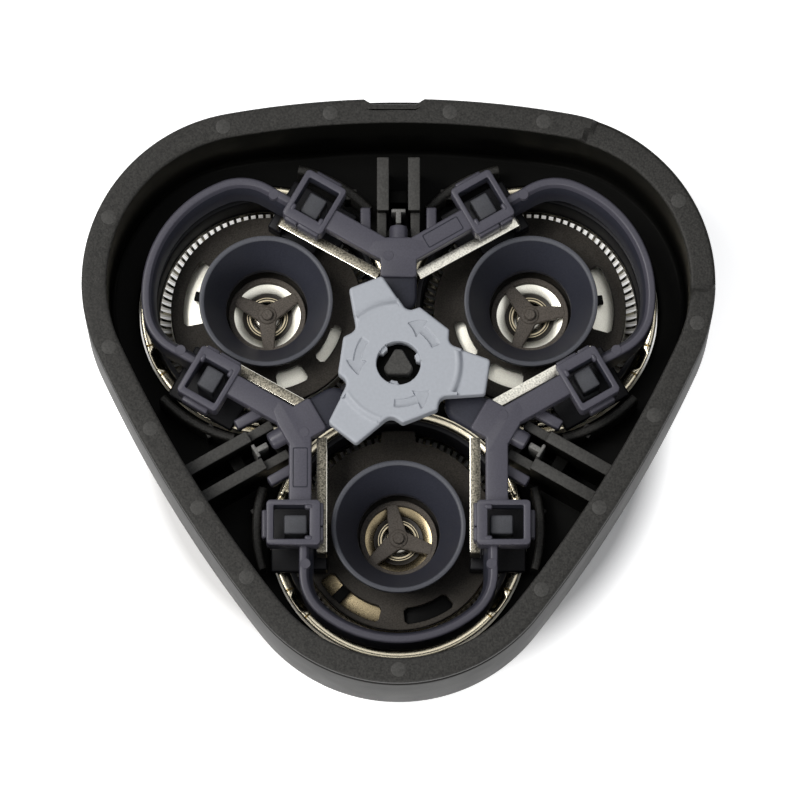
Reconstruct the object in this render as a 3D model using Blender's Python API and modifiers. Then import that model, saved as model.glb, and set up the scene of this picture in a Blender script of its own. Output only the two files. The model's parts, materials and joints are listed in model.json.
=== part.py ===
"""Rotary shaver head with three cutter heads, lying on its guards with its open back up.

The pieces, from the skin side (z = 0) upwards: an outer cover, a holder that clips into it and
carries the centre post, three round heads (guard, trim ring, carrier, plate, drive funnel, and a
cutter with its coupling), six leaf springs, the retaining frame that traps the heads by their lugs,
and the turning lock that holds the frame down. Metres, +Z up, origin under the middle of the outline.
"""
from math import atan2, cos, pi, radians, sin, sqrt

import bmesh
import bpy
from mathutils import Matrix, Vector

MM = 0.001
CLEARANCE = 0.3 * MM            # between two pieces that touch on the real head

# Layout of the three heads
HEAD_REACH = 16.0 * MM          # from the lock axis to a head's axis
HEADS = {"front": 270.0, "right": 30.0, "left": 150.0}      # direction of each head, in degrees
SIDES = {"back": 90.0, "left_side": 210.0, "right_side": 330.0}     # middles between the heads
TILT_AXIS_HEIGHT = 4.5 * MM     # height of the line that a head rocks about

# Housing outline, six arcs that run into each other
BACK_CORNER_REACH = 16.97 * MM
BACK_CORNER_RADIUS = 18.15 * MM
FRONT_CORNER_REACH = 15.6 * MM
FRONT_CORNER_RADIUS = 18.1 * MM
BACK_SIDE_RADIUS = 99.6 * MM
FLANK_RADIUS = 140.0 * MM
CORNER_STEPS = 8
SIDE_STEPS = 4

# Outer cover
COVER_WALL = 1.6 * MM
COVER_FRONT_HEIGHT = 2.9 * MM   # front face above the guards' skin faces
COVER_FRONT_THICKNESS = 1.4 * MM
COVER_EDGE_ROUND = 3.0 * MM
COVER_TOP = 16.3 * MM
HEAD_HOLE_RADIUS = 13.45 * MM

# Holder
RIM_THICKNESS = 1.3 * MM
HOLDER_WALL = 0.7 * MM
RIM_NOTCH_WIDTH = 5.0 * MM
RIM_NOTCH_DEPTH = 0.6 * MM
RIM_DROP = 0.75 * MM            # how much lower the rim lies round one back corner
RIM_DROP_START = 13.3           # degrees about the lock axis
RIM_DROP_END = 51.2
HOLDER_FLOOR = 1.0 * MM
RIB_THICKNESS = 1.25 * MM
RIB_GAP = 2.0 * MM
RIB_INNER_REACH = 14.2 * MM
RIB_STEP_REACH = 17.0 * MM
RIB_TOP = 13.7 * MM
BACK_RIB_REACH = 22.7 * MM
EAR_RADIUS = 14.8 * MM          # middle of the guide walls beside a head
EAR_THICKNESS = 0.9 * MM
EAR_HEIGHT = 4.0 * MM
EAR_HALF_ANGLE = 17.0           # degrees
POST_RADIUS = 2.2 * MM
POST_NECK_HEIGHT = 9.8 * MM
POST_SHOULDER_RADIUS = 3.1 * MM
POST_SHOULDER_DEPTH = 3.0 * MM
POST_HEAD_RADIUS = 1.6 * MM
POST_HEAD_HEIGHT = 1.9 * MM

# Retaining frame
FRAME_TOP = 14.6 * MM
ARM_OFFSET = 10.3 * MM          # from a head's radial line to the middle of an arm
ARM_WIDTH = 2.3 * MM
ARM_DEPTH = 1.9 * MM
JUNCTION_REACH = 12.0 * MM
TONGUE_END_REACH = 7.7 * MM     # middle of the round end under the lock
TONGUE_HALF_WIDTH = 1.9 * MM
PIN_RADIUS = 0.7 * MM
PIN_END_REACH = 15.2 * MM
PIN_HEIGHT = 13.2 * MM
SOCKET_OFFSET = 10.86 * MM
SOCKET_REACH = 16.4 * MM
SOCKET_WIDTH = 5.6 * MM
SOCKET_LENGTH = 4.75 * MM
SOCKET_WINDOW_WIDTH = 4.0 * MM
SOCKET_WINDOW_LENGTH = 3.4 * MM
SOCKET_TOP = 14.9 * MM
SOCKET_DEPTH = 2.5 * MM
LOOP_OFFSET = 9.55 * MM         # middle of the loop's straight legs
LOOP_WIDTH = 1.45 * MM
LOOP_END_RADIUS = 12.2 * MM     # middle of the loop's round end, from the head's axis
LOOP_CORNER_RADIUS = 5.0 * MM
LOOP_TOP = 14.0 * MM
LOOP_DEPTH = 4.5 * MM
LOOP_CORNER_STEPS = 3
LOOP_END_STEPS = 6

# Lock
LOCK_THICKNESS = 2.0 * MM
LOCK_DISC_RADIUS = 5.5 * MM
LOCK_LOBE_RADIUS = 6.4 * MM
LOCK_LOBE_HALF_ANGLE = 17.0     # degrees
LOCK_ARM_REACH = 9.4 * MM
LOCK_ARM_WIDTH = 3.7 * MM
LOCK_ARM_ANGLE = 111.5          # degrees, direction of the first arm when locked
LOCK_STEP_REACH = 7.0 * MM
LOCK_STEP_DROP = 0.5 * MM
LOCK_HOLE_RADIUS = 2.3 * MM
LOCK_TAB_DEPTH = 0.5 * MM
LOCK_TAB_WIDTH = 0.9 * MM
LOCK_TAB_ANGLE = 17.0           # degrees

# Leaf springs
SPRING_OFFSET = 7.96 * MM
SPRING_WIDTH = 1.1 * MM
SPRING_THICKNESS = 0.3 * MM
SPRING_INNER_REACH = 7.0 * MM
SPRING_OUTER_REACH = 19.1 * MM
SPRING_FALL = 0.9 * MM          # how much lower the outer end lies
SPRING_TIP_CLEARANCE = 0.6 * MM

# Guard
GUARD_RADIUS = 11.35 * MM
GUARD_SHEET = 0.4 * MM
GUARD_HEIGHT = 2.6 * MM
GUARD_FLANGE_RADIUS = 12.1 * MM
GUARD_EDGE = 0.35 * MM
GUARD_PIVOT_RADIUS = 1.4 * MM
GUARD_PIVOT_HEIGHT = 2.3 * MM
GUARD_SLOTS = 20
GUARD_SLOT_WIDTH = 0.5 * MM
GUARD_SLOT_INNER_RADIUS = 7.6 * MM
GUARD_SLOT_HEIGHT = 1.3 * MM

# Trim ring
TRIM_WALL = 0.7 * MM
TRIM_FOOT = 1.0 * MM            # its lowest edge above the skin face
TRIM_TOP = 6.5 * MM
TRIM_TAB_ANGLES = (55.0, 112.0, -55.0, -112.0)      # degrees from the outward direction
TRIM_TAB_WIDTH = 2.2 * MM
TRIM_TAB_HEIGHT = 1.8 * MM

# Head carrier
CARRIER_WALL = 0.6 * MM
CARRIER_TOP = 7.2 * MM
CARRIER_PAD_DEPTH = 1.0 * MM
CARRIER_FOOT_DEPTH = 1.2 * MM
CARRIER_FOOT_INNER = 7.4 * MM
CARRIER_FOOT_BACK = 1.4 * MM
CARRIER_FOOT_FRONT = 4.2 * MM
SPRING_STEP_LENGTH = 1.6 * MM
SPRING_STEP_TOP = 8.4 * MM
LUG_OFFSET = 10.65 * MM
LUG_WIDTH = 2.4 * MM
LUG_LENGTH = 2.0 * MM
LUG_TOP = 13.6 * MM

# Plate over the cutter
PLATE_RADIUS = 10.0 * MM
PLATE_THICKNESS = 1.0 * MM
PLATE_TAB_ANGLES = (0.0, 180.0, 270.0)      # degrees, seats on the carrier's pads
PLATE_TAB_WIDTH = 3.6 * MM
PLATE_TAB_REACH = 11.2 * MM
PLATE_SLOTS = {                 # degrees about the head's axis, with 90 outwards
    "front": ((30.0, 77.0), (94.0, 128.0), (256.0, 284.0)),
    "right": ((30.0, 95.0), (258.0, 285.0), (300.0, 348.0)),
    "left": ((81.0, 131.0), (218.0, 240.0), (258.0, 285.0)),
}
PLATE_SLOT_STEPS = 4
PLATE_SLOT_WIDTH = 1.7 * MM
PLATE_SLOT_EDGE = 0.5 * MM      # what is left of the plate outside a slot

# Drive funnel
FUNNEL_RIM_RADIUS = 7.0 * MM
FUNNEL_MOUTH_RADIUS = 6.5 * MM
FUNNEL_THROAT_RADIUS = 4.3 * MM
FUNNEL_SPIGOT_WALL = 0.6 * MM
FUNNEL_SPIGOT_DEPTH = 1.0 * MM
FUNNEL_FOOT_RADIUS = 5.9 * MM
FUNNEL_TOP = 10.6 * MM
FUNNEL_RIM_DEPTH = 0.7 * MM

# Cutter
CUTTER_RADIUS = 10.2 * MM
CUTTER_THICKNESS = 0.5 * MM
CUTTER_HEIGHT = 2.0 * MM        # underside of its disc
CUTTER_BLADES = 12
CUTTER_BLADE_LENGTH = 2.0 * MM
CUTTER_BLADE_THICKNESS = 0.6 * MM
CUTTER_BLADE_LEAN = 20.0        # degrees
CUTTER_REST = {"front": 101.0, "right": 127.0, "left": 153.0}       # degrees, one arm of its coupling

# Coupling on the cutter
COUPLING_RADIUS = 4.1 * MM
COUPLING_RING_WIDTH = 0.7 * MM
COUPLING_THICKNESS = 0.8 * MM
COUPLING_ARM_WIDTH = 1.25 * MM
COUPLING_HUB_RADIUS = 1.2 * MM
COUPLING_HUB_RISE = 0.3 * MM
COUPLING_TIP_RADIUS = 0.7 * MM
COUPLING_TIP_RISE = 0.5 * MM

# Smoothness of round pieces
RING_STEPS = 32
SMALL_STEPS = 24
PIN_STEPS = 12
FLAT_ANGLE = radians(0.2)       # neighbouring faces flatter than this are one face
SHARP_ANGLE = radians(32)
WELD = 1e-6


def polar(reach, degrees):
    return Vector((reach * cos(radians(degrees)), reach * sin(radians(degrees))))


def arc(centre, radius, start, end, steps):
    """Points on an arc, both ends included, with the angles in degrees."""
    return [Vector(centre) + polar(radius, start + (end - start) * i / steps) for i in range(steps + 1)]


def side_centre(side_radius, first, first_radius, second, second_radius):
    """Centre of the side arc that touches two corner arcs from outside, each (place, radius)."""
    a, b = side_radius - first_radius, side_radius - second_radius
    span = (second - first).length
    along = (a * a - b * b + span * span) / (2 * span)
    across = sqrt(a * a - along * along)
    direction = (second - first) / span
    return first + direction * along + Vector((-direction.y, direction.x)) * across


def housing_outline(inset):
    """The housing's outline about the lock axis, moved inwards by inset, counterclockwise."""
    corners = [
        (polar(FRONT_CORNER_REACH, HEADS["front"]), FRONT_CORNER_RADIUS),
        (polar(BACK_CORNER_REACH, HEADS["right"]), BACK_CORNER_RADIUS),
        (polar(BACK_CORNER_REACH, HEADS["left"]), BACK_CORNER_RADIUS),
    ]
    sides = (FLANK_RADIUS, BACK_SIDE_RADIUS, FLANK_RADIUS)
    centres = [side_centre(sides[i], *corners[i], *corners[(i + 1) % 3]) for i in range(3)]
    points = []
    for i, (corner, radius) in enumerate(corners):
        before, after = corner - centres[i - 1], corner - centres[i]
        start, end = (degrees_of(direction) for direction in (before, after))
        end += 360 * (end < start)
        points += arc(corner, radius - inset, start, end, CORNER_STEPS)
        next_corner = corners[(i + 1) % 3][0]
        start, end = degrees_of(after), degrees_of(next_corner - centres[i])
        end += 360 * (end < start)
        points += arc(centres[i], sides[i] - inset, start, end, SIDE_STEPS)[1:-1]
    return points


def degrees_of(direction):
    return atan2(direction.y, direction.x) * 180 / pi


def wall_reach(direction, inset):
    """How far the outline, moved inwards by inset, reaches from the lock axis in a direction."""
    return max(point.dot(polar(1, direction)) for point in housing_outline(inset))


def outline_middle():
    """Half way between the outline's front and back extremes, seen from the lock axis."""
    ys = [point.y for point in housing_outline(0)]
    return (min(ys) + max(ys)) / 2


# Sizes that follow from the ones above
RIM_TOP = COVER_TOP + CLEARANCE + RIM_THICKNESS
HOLDER_INSET = COVER_WALL + CLEARANCE       # the holder's wall stands this far inside the outline
RIM_WIDTH = HOLDER_INSET + HOLDER_WALL
HOLDER_FLOOR_BOTTOM = COVER_FRONT_HEIGHT + COVER_FRONT_THICKNESS + CLEARANCE
HOLDER_FLOOR_TOP = HOLDER_FLOOR_BOTTOM + HOLDER_FLOOR
LOCK_BOTTOM = FRAME_TOP + CLEARANCE
LOCK_TOP = LOCK_BOTTOM + LOCK_THICKNESS
TRIM_INNER_RADIUS = GUARD_FLANGE_RADIUS + CLEARANCE
TRIM_RADIUS = TRIM_INNER_RADIUS + TRIM_WALL
CARRIER_RADIUS = TRIM_INNER_RADIUS - CLEARANCE
CARRIER_INNER_RADIUS = CARRIER_RADIUS - CARRIER_WALL
CARRIER_BOTTOM = GUARD_HEIGHT + CLEARANCE
CARRIER_FOOT_BOTTOM = CARRIER_TOP - CARRIER_FOOT_DEPTH
PLATE_TOP = CARRIER_FOOT_BOTTOM - CLEARANCE
PLATE_BOTTOM = PLATE_TOP - PLATE_THICKNESS
SLOT_OUTER_RADIUS = PLATE_RADIUS - PLATE_SLOT_EDGE
SLOT_INNER_RADIUS = SLOT_OUTER_RADIUS - PLATE_SLOT_WIDTH
FUNNEL_FOOT = PLATE_TOP + CLEARANCE
SPIGOT_RADIUS = FUNNEL_THROAT_RADIUS + FUNNEL_SPIGOT_WALL
CUTTER_TOP = CUTTER_HEIGHT + CUTTER_THICKNESS
COUPLING_BOTTOM = CUTTER_TOP + CLEARANCE
ARM_BOTTOM = FRAME_TOP - ARM_DEPTH
RIB_STEP_TOP = ARM_BOTTOM - CLEARANCE
SPRING_TOP = ARM_BOTTOM - CLEARANCE
LOCK_AXIS = Vector((0, -outline_middle(), 0))


def new_collection(name):
    collection = bpy.data.collections.new(name)
    bpy.context.scene.collection.children.link(collection)
    return collection


def new_material(name, colour, roughness, metallic):
    material = bpy.data.materials.new(name)
    material.use_nodes = True
    shader = material.node_tree.nodes["Principled BSDF"]
    shader.inputs["Base Color"].default_value = (*colour, 1)
    shader.inputs["Roughness"].default_value = roughness
    shader.inputs["Metallic"].default_value = metallic
    material.diffuse_color = (*colour, 1)
    return material


def evaluated_mesh(shape):
    """The mesh of an object with its modifiers done, welded, with its faces pointing out."""
    graph = bpy.context.evaluated_depsgraph_get()
    mesh = bpy.data.meshes.new_from_object(shape.evaluated_get(graph))
    edit = bmesh.new()
    edit.from_mesh(mesh)
    bmesh.ops.remove_doubles(edit, verts=edit.verts, dist=WELD)
    bmesh.ops.dissolve_degenerate(edit, edges=edit.edges, dist=WELD)
    bmesh.ops.recalc_face_normals(edit, faces=edit.faces)
    edit.to_mesh(mesh)
    edit.free()
    return mesh


def block_object(data):
    """A building block, later fused into or cut from a piece."""
    shape = bpy.data.objects.new("block", data)
    bpy.context.scene.collection.objects.link(shape)
    return shape


def settle(shape):
    """Replace a block by a block with its evaluated mesh."""
    settled = block_object(evaluated_mesh(shape))
    bpy.data.objects.remove(shape)
    return settled


def prism(outline, low, high, holes=()):
    """A flat outline, with any holes, pulled up from one height to another."""
    curve = bpy.data.curves.new("outline", "CURVE")
    curve.dimensions = "2D"
    curve.fill_mode = "BOTH"
    curve.extrude = (high - low) / 2
    for loop in (outline, *holes):
        spline = curve.splines.new("POLY")
        spline.points.add(len(loop) - 1)
        for point, place in zip(spline.points, loop):
            point.co = (place[0], place[1], 0, 1)
        spline.use_cyclic_u = True
    shape = settle(block_object(curve))
    shape.data.transform(Matrix.Translation((0, 0, (low + high) / 2)))
    return shape


def turned(profile, steps):
    """A (radius, height) profile, running down its outer side, turned about the z axis."""
    ring = all(radius > 0 for radius, height in profile)
    edges = [(i, i + 1) for i in range(len(profile) - 1)]
    if ring:
        edges.append((len(profile) - 1, 0))
    mesh = bpy.data.meshes.new("profile")
    mesh.from_pydata([(radius, 0, height) for radius, height in profile], edges, [])
    shape = block_object(mesh)
    screw = shape.modifiers.new("turn", "SCREW")
    screw.steps = screw.render_steps = steps
    screw.use_merge_vertices = True
    screw.merge_threshold = WELD
    return settle(shape)


def cylinder(radius, low, high, steps=SMALL_STEPS):
    return turned([(0, high), (radius, high), (radius, low), (0, low)], steps)


def box(low, high):
    """A box between two corners."""
    low, high = Vector(low), Vector(high)
    edit = bmesh.new()
    bmesh.ops.create_cube(edit, size=1)
    mesh = bpy.data.meshes.new("box")
    edit.to_mesh(mesh)
    edit.free()
    size = high - low
    mesh.transform(Matrix.Translation((low + high) / 2) @ Matrix.Diagonal((*size, 1)))
    return block_object(mesh)


def moved(shape, matrix):
    shape.data.transform(matrix)
    if matrix.determinant() < 0:
        shape.data.flip_normals()
    return shape


def copies(shape, matrices):
    """One block for each matrix; the shape itself is used up."""
    made = [moved(block_object(shape.data.copy()), matrix) for matrix in matrices]
    bpy.data.objects.remove(shape)
    return made


def turns(angles):
    """Turns about the z axis by angles in degrees."""
    return [Matrix.Rotation(radians(angle), 4, "Z") for angle in angles]


def mirrored(shape):
    """The shape and its mirror image on the other side of the yz plane."""
    return copies(shape, [Matrix.Identity(4), Matrix.Scale(-1, 4, (1, 0, 0))])


def combine(body, tools, operation):
    for tool in tools:
        modifier = body.modifiers.new(operation.lower(), "BOOLEAN")
        modifier.operation = operation
        modifier.object = tool
        old = body.data
        body.data = evaluated_mesh(body)
        body.modifiers.clear()
        bpy.data.meshes.remove(old)
        bpy.data.objects.remove(tool)
    return body


def fused(body, *tools):
    return combine(body, tools, "UNION")


def cut(body, *tools):
    return combine(body, tools, "DIFFERENCE")


def finished_mesh(shape, name):
    """The block's mesh with flat areas as single faces, shaded smooth but for its corners."""
    mesh = shape.data
    edit = bmesh.new()
    edit.from_mesh(mesh)
    bmesh.ops.dissolve_limit(edit, angle_limit=FLAT_ANGLE, verts=edit.verts, edges=edit.edges)
    edit.to_mesh(mesh)
    edit.free()
    mesh.name = name
    mesh.shade_smooth()
    mesh.set_sharp_from_angle(angle=SHARP_ANGLE)
    bpy.data.objects.remove(shape)
    return mesh


def strip(path, width):
    """The outline of a strip of even width along an open path."""
    left, right = [], []
    for i, point in enumerate(path):
        ahead = path[min(i + 1, len(path) - 1)] - point
        behind = point - path[max(i - 1, 0)]
        along = (ahead.normalized() + behind.normalized()).normalized()
        across = Vector((-along.y, along.x)) * width / 2
        left.append(point + across)
        right.append(point - across)
    return left + right[::-1]


def head_centre(name):
    return polar(HEAD_REACH, HEADS[name])


def head_holes(low, high):
    """Cutters for the three round openings that the heads stand in."""
    hole = cylinder(HEAD_HOLE_RADIUS, low - CLEARANCE, high + CLEARANCE, RING_STEPS)
    return copies(hole, [Matrix.Translation((*head_centre(name), 0)) for name in HEADS])


def radial(directions):
    """Turns that carry a shape drawn outwards along +Y into each direction."""
    return turns([direction - 90 for direction in directions])


def weigh_corner_edges(mesh, height):
    """Mark the edges that a Bevel rounds: those between a flat end at one height and the walls."""
    edit = bmesh.new()
    edit.from_mesh(mesh)
    weight = edit.edges.layers.float.new("bevel_weight_edge")
    for edge in edit.edges:
        level = all(abs(corner.co.z - height) < WELD for corner in edge.verts)
        edge[weight] = float(level and edge.calc_face_angle() > SHARP_ANGLE)
    edit.to_mesh(mesh)
    edit.free()


def cover_mesh():
    """A tray with a rounded front edge and three round openings."""
    tray = prism(housing_outline(0), COVER_FRONT_HEIGHT, COVER_TOP)
    weigh_corner_edges(tray.data, COVER_FRONT_HEIGHT)
    bevel = tray.modifiers.new("front edge", "BEVEL")
    bevel.limit_method = "WEIGHT"
    bevel.width = COVER_EDGE_ROUND
    bevel.segments = 3
    tray = settle(tray)
    floor = COVER_FRONT_HEIGHT + COVER_FRONT_THICKNESS
    cut(tray, prism(housing_outline(COVER_WALL), floor, COVER_TOP + COVER_WALL))
    cut(tray, *head_holes(COVER_FRONT_HEIGHT, floor))
    return finished_mesh(tray, "outer_cover")


def rib_pair(reach):
    """Two upright ribs, drawn along +Y, with a lower inner end and a saddle under the frame's pin."""
    inner, outer = RIB_GAP / 2, RIB_GAP / 2 + RIB_THICKNESS
    rib = box((inner, RIB_STEP_REACH, HOLDER_FLOOR_BOTTOM + CLEARANCE), (outer, reach, RIB_TOP))
    low_end = box((inner, RIB_INNER_REACH, HOLDER_FLOOR_BOTTOM + CLEARANCE),
                  (outer, RIB_STEP_REACH + CLEARANCE, RIB_STEP_TOP))
    saddle = box((-outer, RIB_INNER_REACH + CLEARANCE, HOLDER_FLOOR_BOTTOM + CLEARANCE),
                 (outer, PIN_END_REACH, PIN_HEIGHT - PIN_RADIUS - CLEARANCE))
    stop = box((-inner - CLEARANCE, PIN_END_REACH + CLEARANCE, HOLDER_FLOOR_BOTTOM + CLEARANCE),
               (inner + CLEARANCE, RIB_STEP_REACH, PIN_HEIGHT))
    return mirrored(fused(rib, low_end)) + [saddle, stop]


def centre_post():
    """The column that the lock turns on: a neck, a shoulder and a three-cornered head."""
    shoulder = FRAME_TOP
    foot = HOLDER_FLOOR_BOTTOM + CLEARANCE
    post = turned([(0, shoulder), (POST_SHOULDER_RADIUS, shoulder),
                   (POST_SHOULDER_RADIUS, shoulder - POST_SHOULDER_DEPTH),
                   (POST_RADIUS, POST_NECK_HEIGHT), (POST_RADIUS, foot), (0, foot)], SMALL_STEPS)
    corners = []
    for direction in SIDES.values():
        corners += [polar(POST_HEAD_RADIUS, direction - 14), polar(POST_HEAD_RADIUS, direction + 14)]
    return fused(post, prism(corners, shoulder - CLEARANCE, shoulder + POST_HEAD_HEIGHT))


def ears():
    """Guide walls on the floor at both sides of each head."""
    half = EAR_THICKNESS / 2
    wall = prism(arc((0, 0), EAR_RADIUS + half, -EAR_HALF_ANGLE, EAR_HALF_ANGLE, 4)
                 + arc((0, 0), EAR_RADIUS - half, EAR_HALF_ANGLE, -EAR_HALF_ANGLE, 4),
                 HOLDER_FLOOR_BOTTOM + CLEARANCE, HOLDER_FLOOR_TOP + EAR_HEIGHT)
    moved(wall, Matrix.Translation((0, HEAD_REACH, 0)))
    walls = []
    for side in mirrored(wall):
        walls += copies(side, radial(HEADS.values()))
    return walls


def holder_mesh():
    """Rim flange, wall, floor, ribs, ears and post, moulded in one."""
    rim_bottom = COVER_TOP + CLEARANCE
    shell = prism(housing_outline(HOLDER_INSET), HOLDER_FLOOR_BOTTOM, rim_bottom + CLEARANCE)
    shell = fused(shell, prism(housing_outline(0), rim_bottom, RIM_TOP))
    cut(shell, prism(housing_outline(RIM_WIDTH), HOLDER_FLOOR_TOP, RIM_TOP + CLEARANCE))
    cut(shell, *head_holes(HOLDER_FLOOR_BOTTOM, HOLDER_FLOOR_TOP))
    back = max(point.y for point in housing_outline(0))
    half = RIM_NOTCH_WIDTH / 2
    cut(shell, box((-half, back - RIM_NOTCH_DEPTH, rim_bottom - CLEARANCE),
                   (half, back + RIM_NOTCH_DEPTH, RIM_TOP + CLEARANCE)))
    far = BACK_CORNER_REACH + 2 * BACK_CORNER_RADIUS
    sector = [Vector((0, 0)), polar(far, RIM_DROP_START), polar(far, RIM_DROP_END)]
    cut(shell, prism(sector, RIM_TOP - RIM_DROP, RIM_TOP + CLEARANCE))
    for name, direction in SIDES.items():
        in_wall = wall_reach(direction, HOLDER_INSET + HOLDER_WALL / 2)
        for piece in rib_pair(BACK_RIB_REACH if name == "back" else in_wall):
            fused(shell, moved(piece, radial([direction])[0]))
    fused(shell, *ears(), centre_post())
    return finished_mesh(shell, "holder")


def loop_path():
    """Middle line of one loop: a leg, a corner, an end round the head's axis, and the same mirrored.
    A corner touches its leg and, from inside, the circle of the round end."""
    corner = Vector((LOOP_OFFSET - LOOP_CORNER_RADIUS, 0))
    reach = LOOP_END_RADIUS - LOOP_CORNER_RADIUS
    corner.y = sqrt(reach * reach - corner.x * corner.x)
    meeting = degrees_of(corner)
    socket_end = SOCKET_REACH + SOCKET_LENGTH / 2 - HEAD_REACH
    start = Vector((LOOP_OFFSET, min(socket_end - CLEARANCE, corner.y - CLEARANCE)))
    path = [start] + arc(corner, LOOP_CORNER_RADIUS, 0, meeting, LOOP_CORNER_STEPS)[:-1]
    path += arc((0, 0), LOOP_END_RADIUS, meeting, 180 - meeting, LOOP_END_STEPS)
    path += [Vector((-point.x, point.y)) for point in reversed(path[:LOOP_CORNER_STEPS + 1])]
    return [point + Vector((0, HEAD_REACH)) for point in path]


def frame_sector():
    """The arms, sockets and loop that hold one head, drawn along +Y."""
    junction = JUNCTION_REACH / 2
    socket_start = SOCKET_REACH - SOCKET_LENGTH / 2
    arm = box((ARM_OFFSET - ARM_WIDTH / 2, junction, ARM_BOTTOM),
              (ARM_OFFSET + ARM_WIDTH / 2, socket_start + CLEARANCE, FRAME_TOP))
    half = Vector((SOCKET_WIDTH / 2, SOCKET_LENGTH / 2, 0))
    middle = Vector((SOCKET_OFFSET, SOCKET_REACH, 0))
    low, high = Vector((0, 0, SOCKET_TOP - SOCKET_DEPTH)), Vector((0, 0, SOCKET_TOP))
    socket = box(middle - half + low, middle + half + high)
    loop = prism(strip(loop_path(), LOOP_WIDTH), LOOP_TOP - LOOP_DEPTH, LOOP_TOP)
    sector = fused(loop, *mirrored(fused(socket, arm)))
    half = Vector((SOCKET_WINDOW_WIDTH / 2, SOCKET_WINDOW_LENGTH / 2, CLEARANCE))
    window = box(middle - half + low - Vector((0, 0, LOOP_DEPTH)), middle + half + high)
    return cut(sector, *mirrored(window))


def frame_mesh():
    """Three sectors joined at junctions, each with a tongue under the lock and a pin for the ribs."""
    body, *others = copies(frame_sector(), radial(HEADS.values()))
    tongue = prism(arc((0, TONGUE_END_REACH), TONGUE_HALF_WIDTH, 180, 360, 8)
                   + arc((0, JUNCTION_REACH), TONGUE_HALF_WIDTH, 0, 180, 8), ARM_BOTTOM, FRAME_TOP)
    pin = cylinder(PIN_RADIUS, -PIN_END_REACH, -JUNCTION_REACH, PIN_STEPS)
    moved(pin, Matrix.Translation((0, 0, PIN_HEIGHT)) @ Matrix.Rotation(radians(90), 4, "X"))
    for part in (tongue, pin):
        others += copies(part, radial(SIDES.values()))
    return finished_mesh(fused(body, *others), "retaining_frame")


def lock_mesh():
    """A disc with three arms, three lobes and a hole with three tabs."""
    disc = cylinder(LOCK_DISC_RADIUS, LOCK_BOTTOM, LOCK_TOP, RING_STEPS)
    half = LOCK_ARM_WIDTH / 2
    arm = box((0, -half, LOCK_BOTTOM), (LOCK_STEP_REACH, half, LOCK_TOP))
    fused(arm, box((LOCK_STEP_REACH - CLEARANCE, -half, LOCK_BOTTOM),
                   (LOCK_ARM_REACH, half, LOCK_TOP - LOCK_STEP_DROP)))
    sweep = LOCK_LOBE_HALF_ANGLE
    lobe = prism([Vector((0, 0))] + arc((0, 0), LOCK_LOBE_RADIUS, -sweep, sweep, 4),
                 LOCK_BOTTOM, LOCK_TOP)
    thirds = (0, 120, 240)
    arms = copies(arm, turns([LOCK_ARM_ANGLE + third for third in thirds]))
    lobes = copies(lobe, turns([LOCK_ARM_ANGLE + 60 + third for third in thirds]))
    lock = fused(disc, *arms, *lobes)
    cut(lock, cylinder(LOCK_HOLE_RADIUS, LOCK_BOTTOM - CLEARANCE, LOCK_TOP + CLEARANCE))
    half = LOCK_TAB_WIDTH / 2
    tab = box((LOCK_HOLE_RADIUS - LOCK_TAB_DEPTH, -half, LOCK_BOTTOM),
              (LOCK_HOLE_RADIUS + LOCK_TAB_DEPTH, half, LOCK_TOP - LOCK_STEP_DROP))
    fused(lock, *copies(tab, turns([LOCK_TAB_ANGLE + third for third in thirds])))
    return finished_mesh(lock, "lock")


def spring_mesh():
    """A steel strip along +Y with its outer end turned down, drawn at +X of a head's radial line."""
    slope = SPRING_FALL / (SPRING_OUTER_REACH - SPRING_INNER_REACH)
    tip = SPRING_STEP_TOP + SPRING_TIP_CLEARANCE
    inner = Vector((SPRING_INNER_REACH, SPRING_TOP))
    outer = Vector((SPRING_OUTER_REACH, SPRING_TOP - SPRING_FALL))
    down = Vector((0, -SPRING_THICKNESS))
    back = Vector((-SPRING_THICKNESS, -SPRING_THICKNESS * (1 - slope)))
    side = [inner + down, outer + back, Vector((outer.x - SPRING_THICKNESS, tip)),
            Vector((outer.x, tip)), outer, inner]
    low = SPRING_OFFSET - SPRING_WIDTH / 2
    strip_body = prism(side, low, low + SPRING_WIDTH)
    upright = Matrix(((0, 0, 1, 0), (1, 0, 0, 0), (0, 1, 0, 0), (0, 0, 0, 1)))
    return finished_mesh(moved(strip_body, upright), "leaf_spring")


def guard_mesh():
    """A pressed steel cap with a slotted track, a flange and a pivot for the cutter."""
    inner = GUARD_RADIUS - GUARD_SHEET
    guard = turned([
        (0, GUARD_PIVOT_HEIGHT), (GUARD_PIVOT_RADIUS, GUARD_PIVOT_HEIGHT),
        (GUARD_PIVOT_RADIUS, GUARD_SHEET), (inner, GUARD_SHEET), (inner, GUARD_HEIGHT),
        (GUARD_FLANGE_RADIUS, GUARD_HEIGHT), (GUARD_FLANGE_RADIUS, GUARD_HEIGHT - GUARD_SHEET),
        (GUARD_RADIUS, GUARD_HEIGHT - GUARD_SHEET), (GUARD_RADIUS, GUARD_EDGE),
        (GUARD_RADIUS - GUARD_EDGE, 0), (0, 0)], RING_STEPS)
    half = GUARD_SLOT_WIDTH / 2
    slot = box((GUARD_SLOT_INNER_RADIUS, -half, -GUARD_SHEET),
               (GUARD_RADIUS + GUARD_SHEET, half, GUARD_SLOT_HEIGHT))
    cut(guard, *copies(slot, turns([360 * i / GUARD_SLOTS for i in range(GUARD_SLOTS)])))
    return finished_mesh(guard, "guard")


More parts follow.
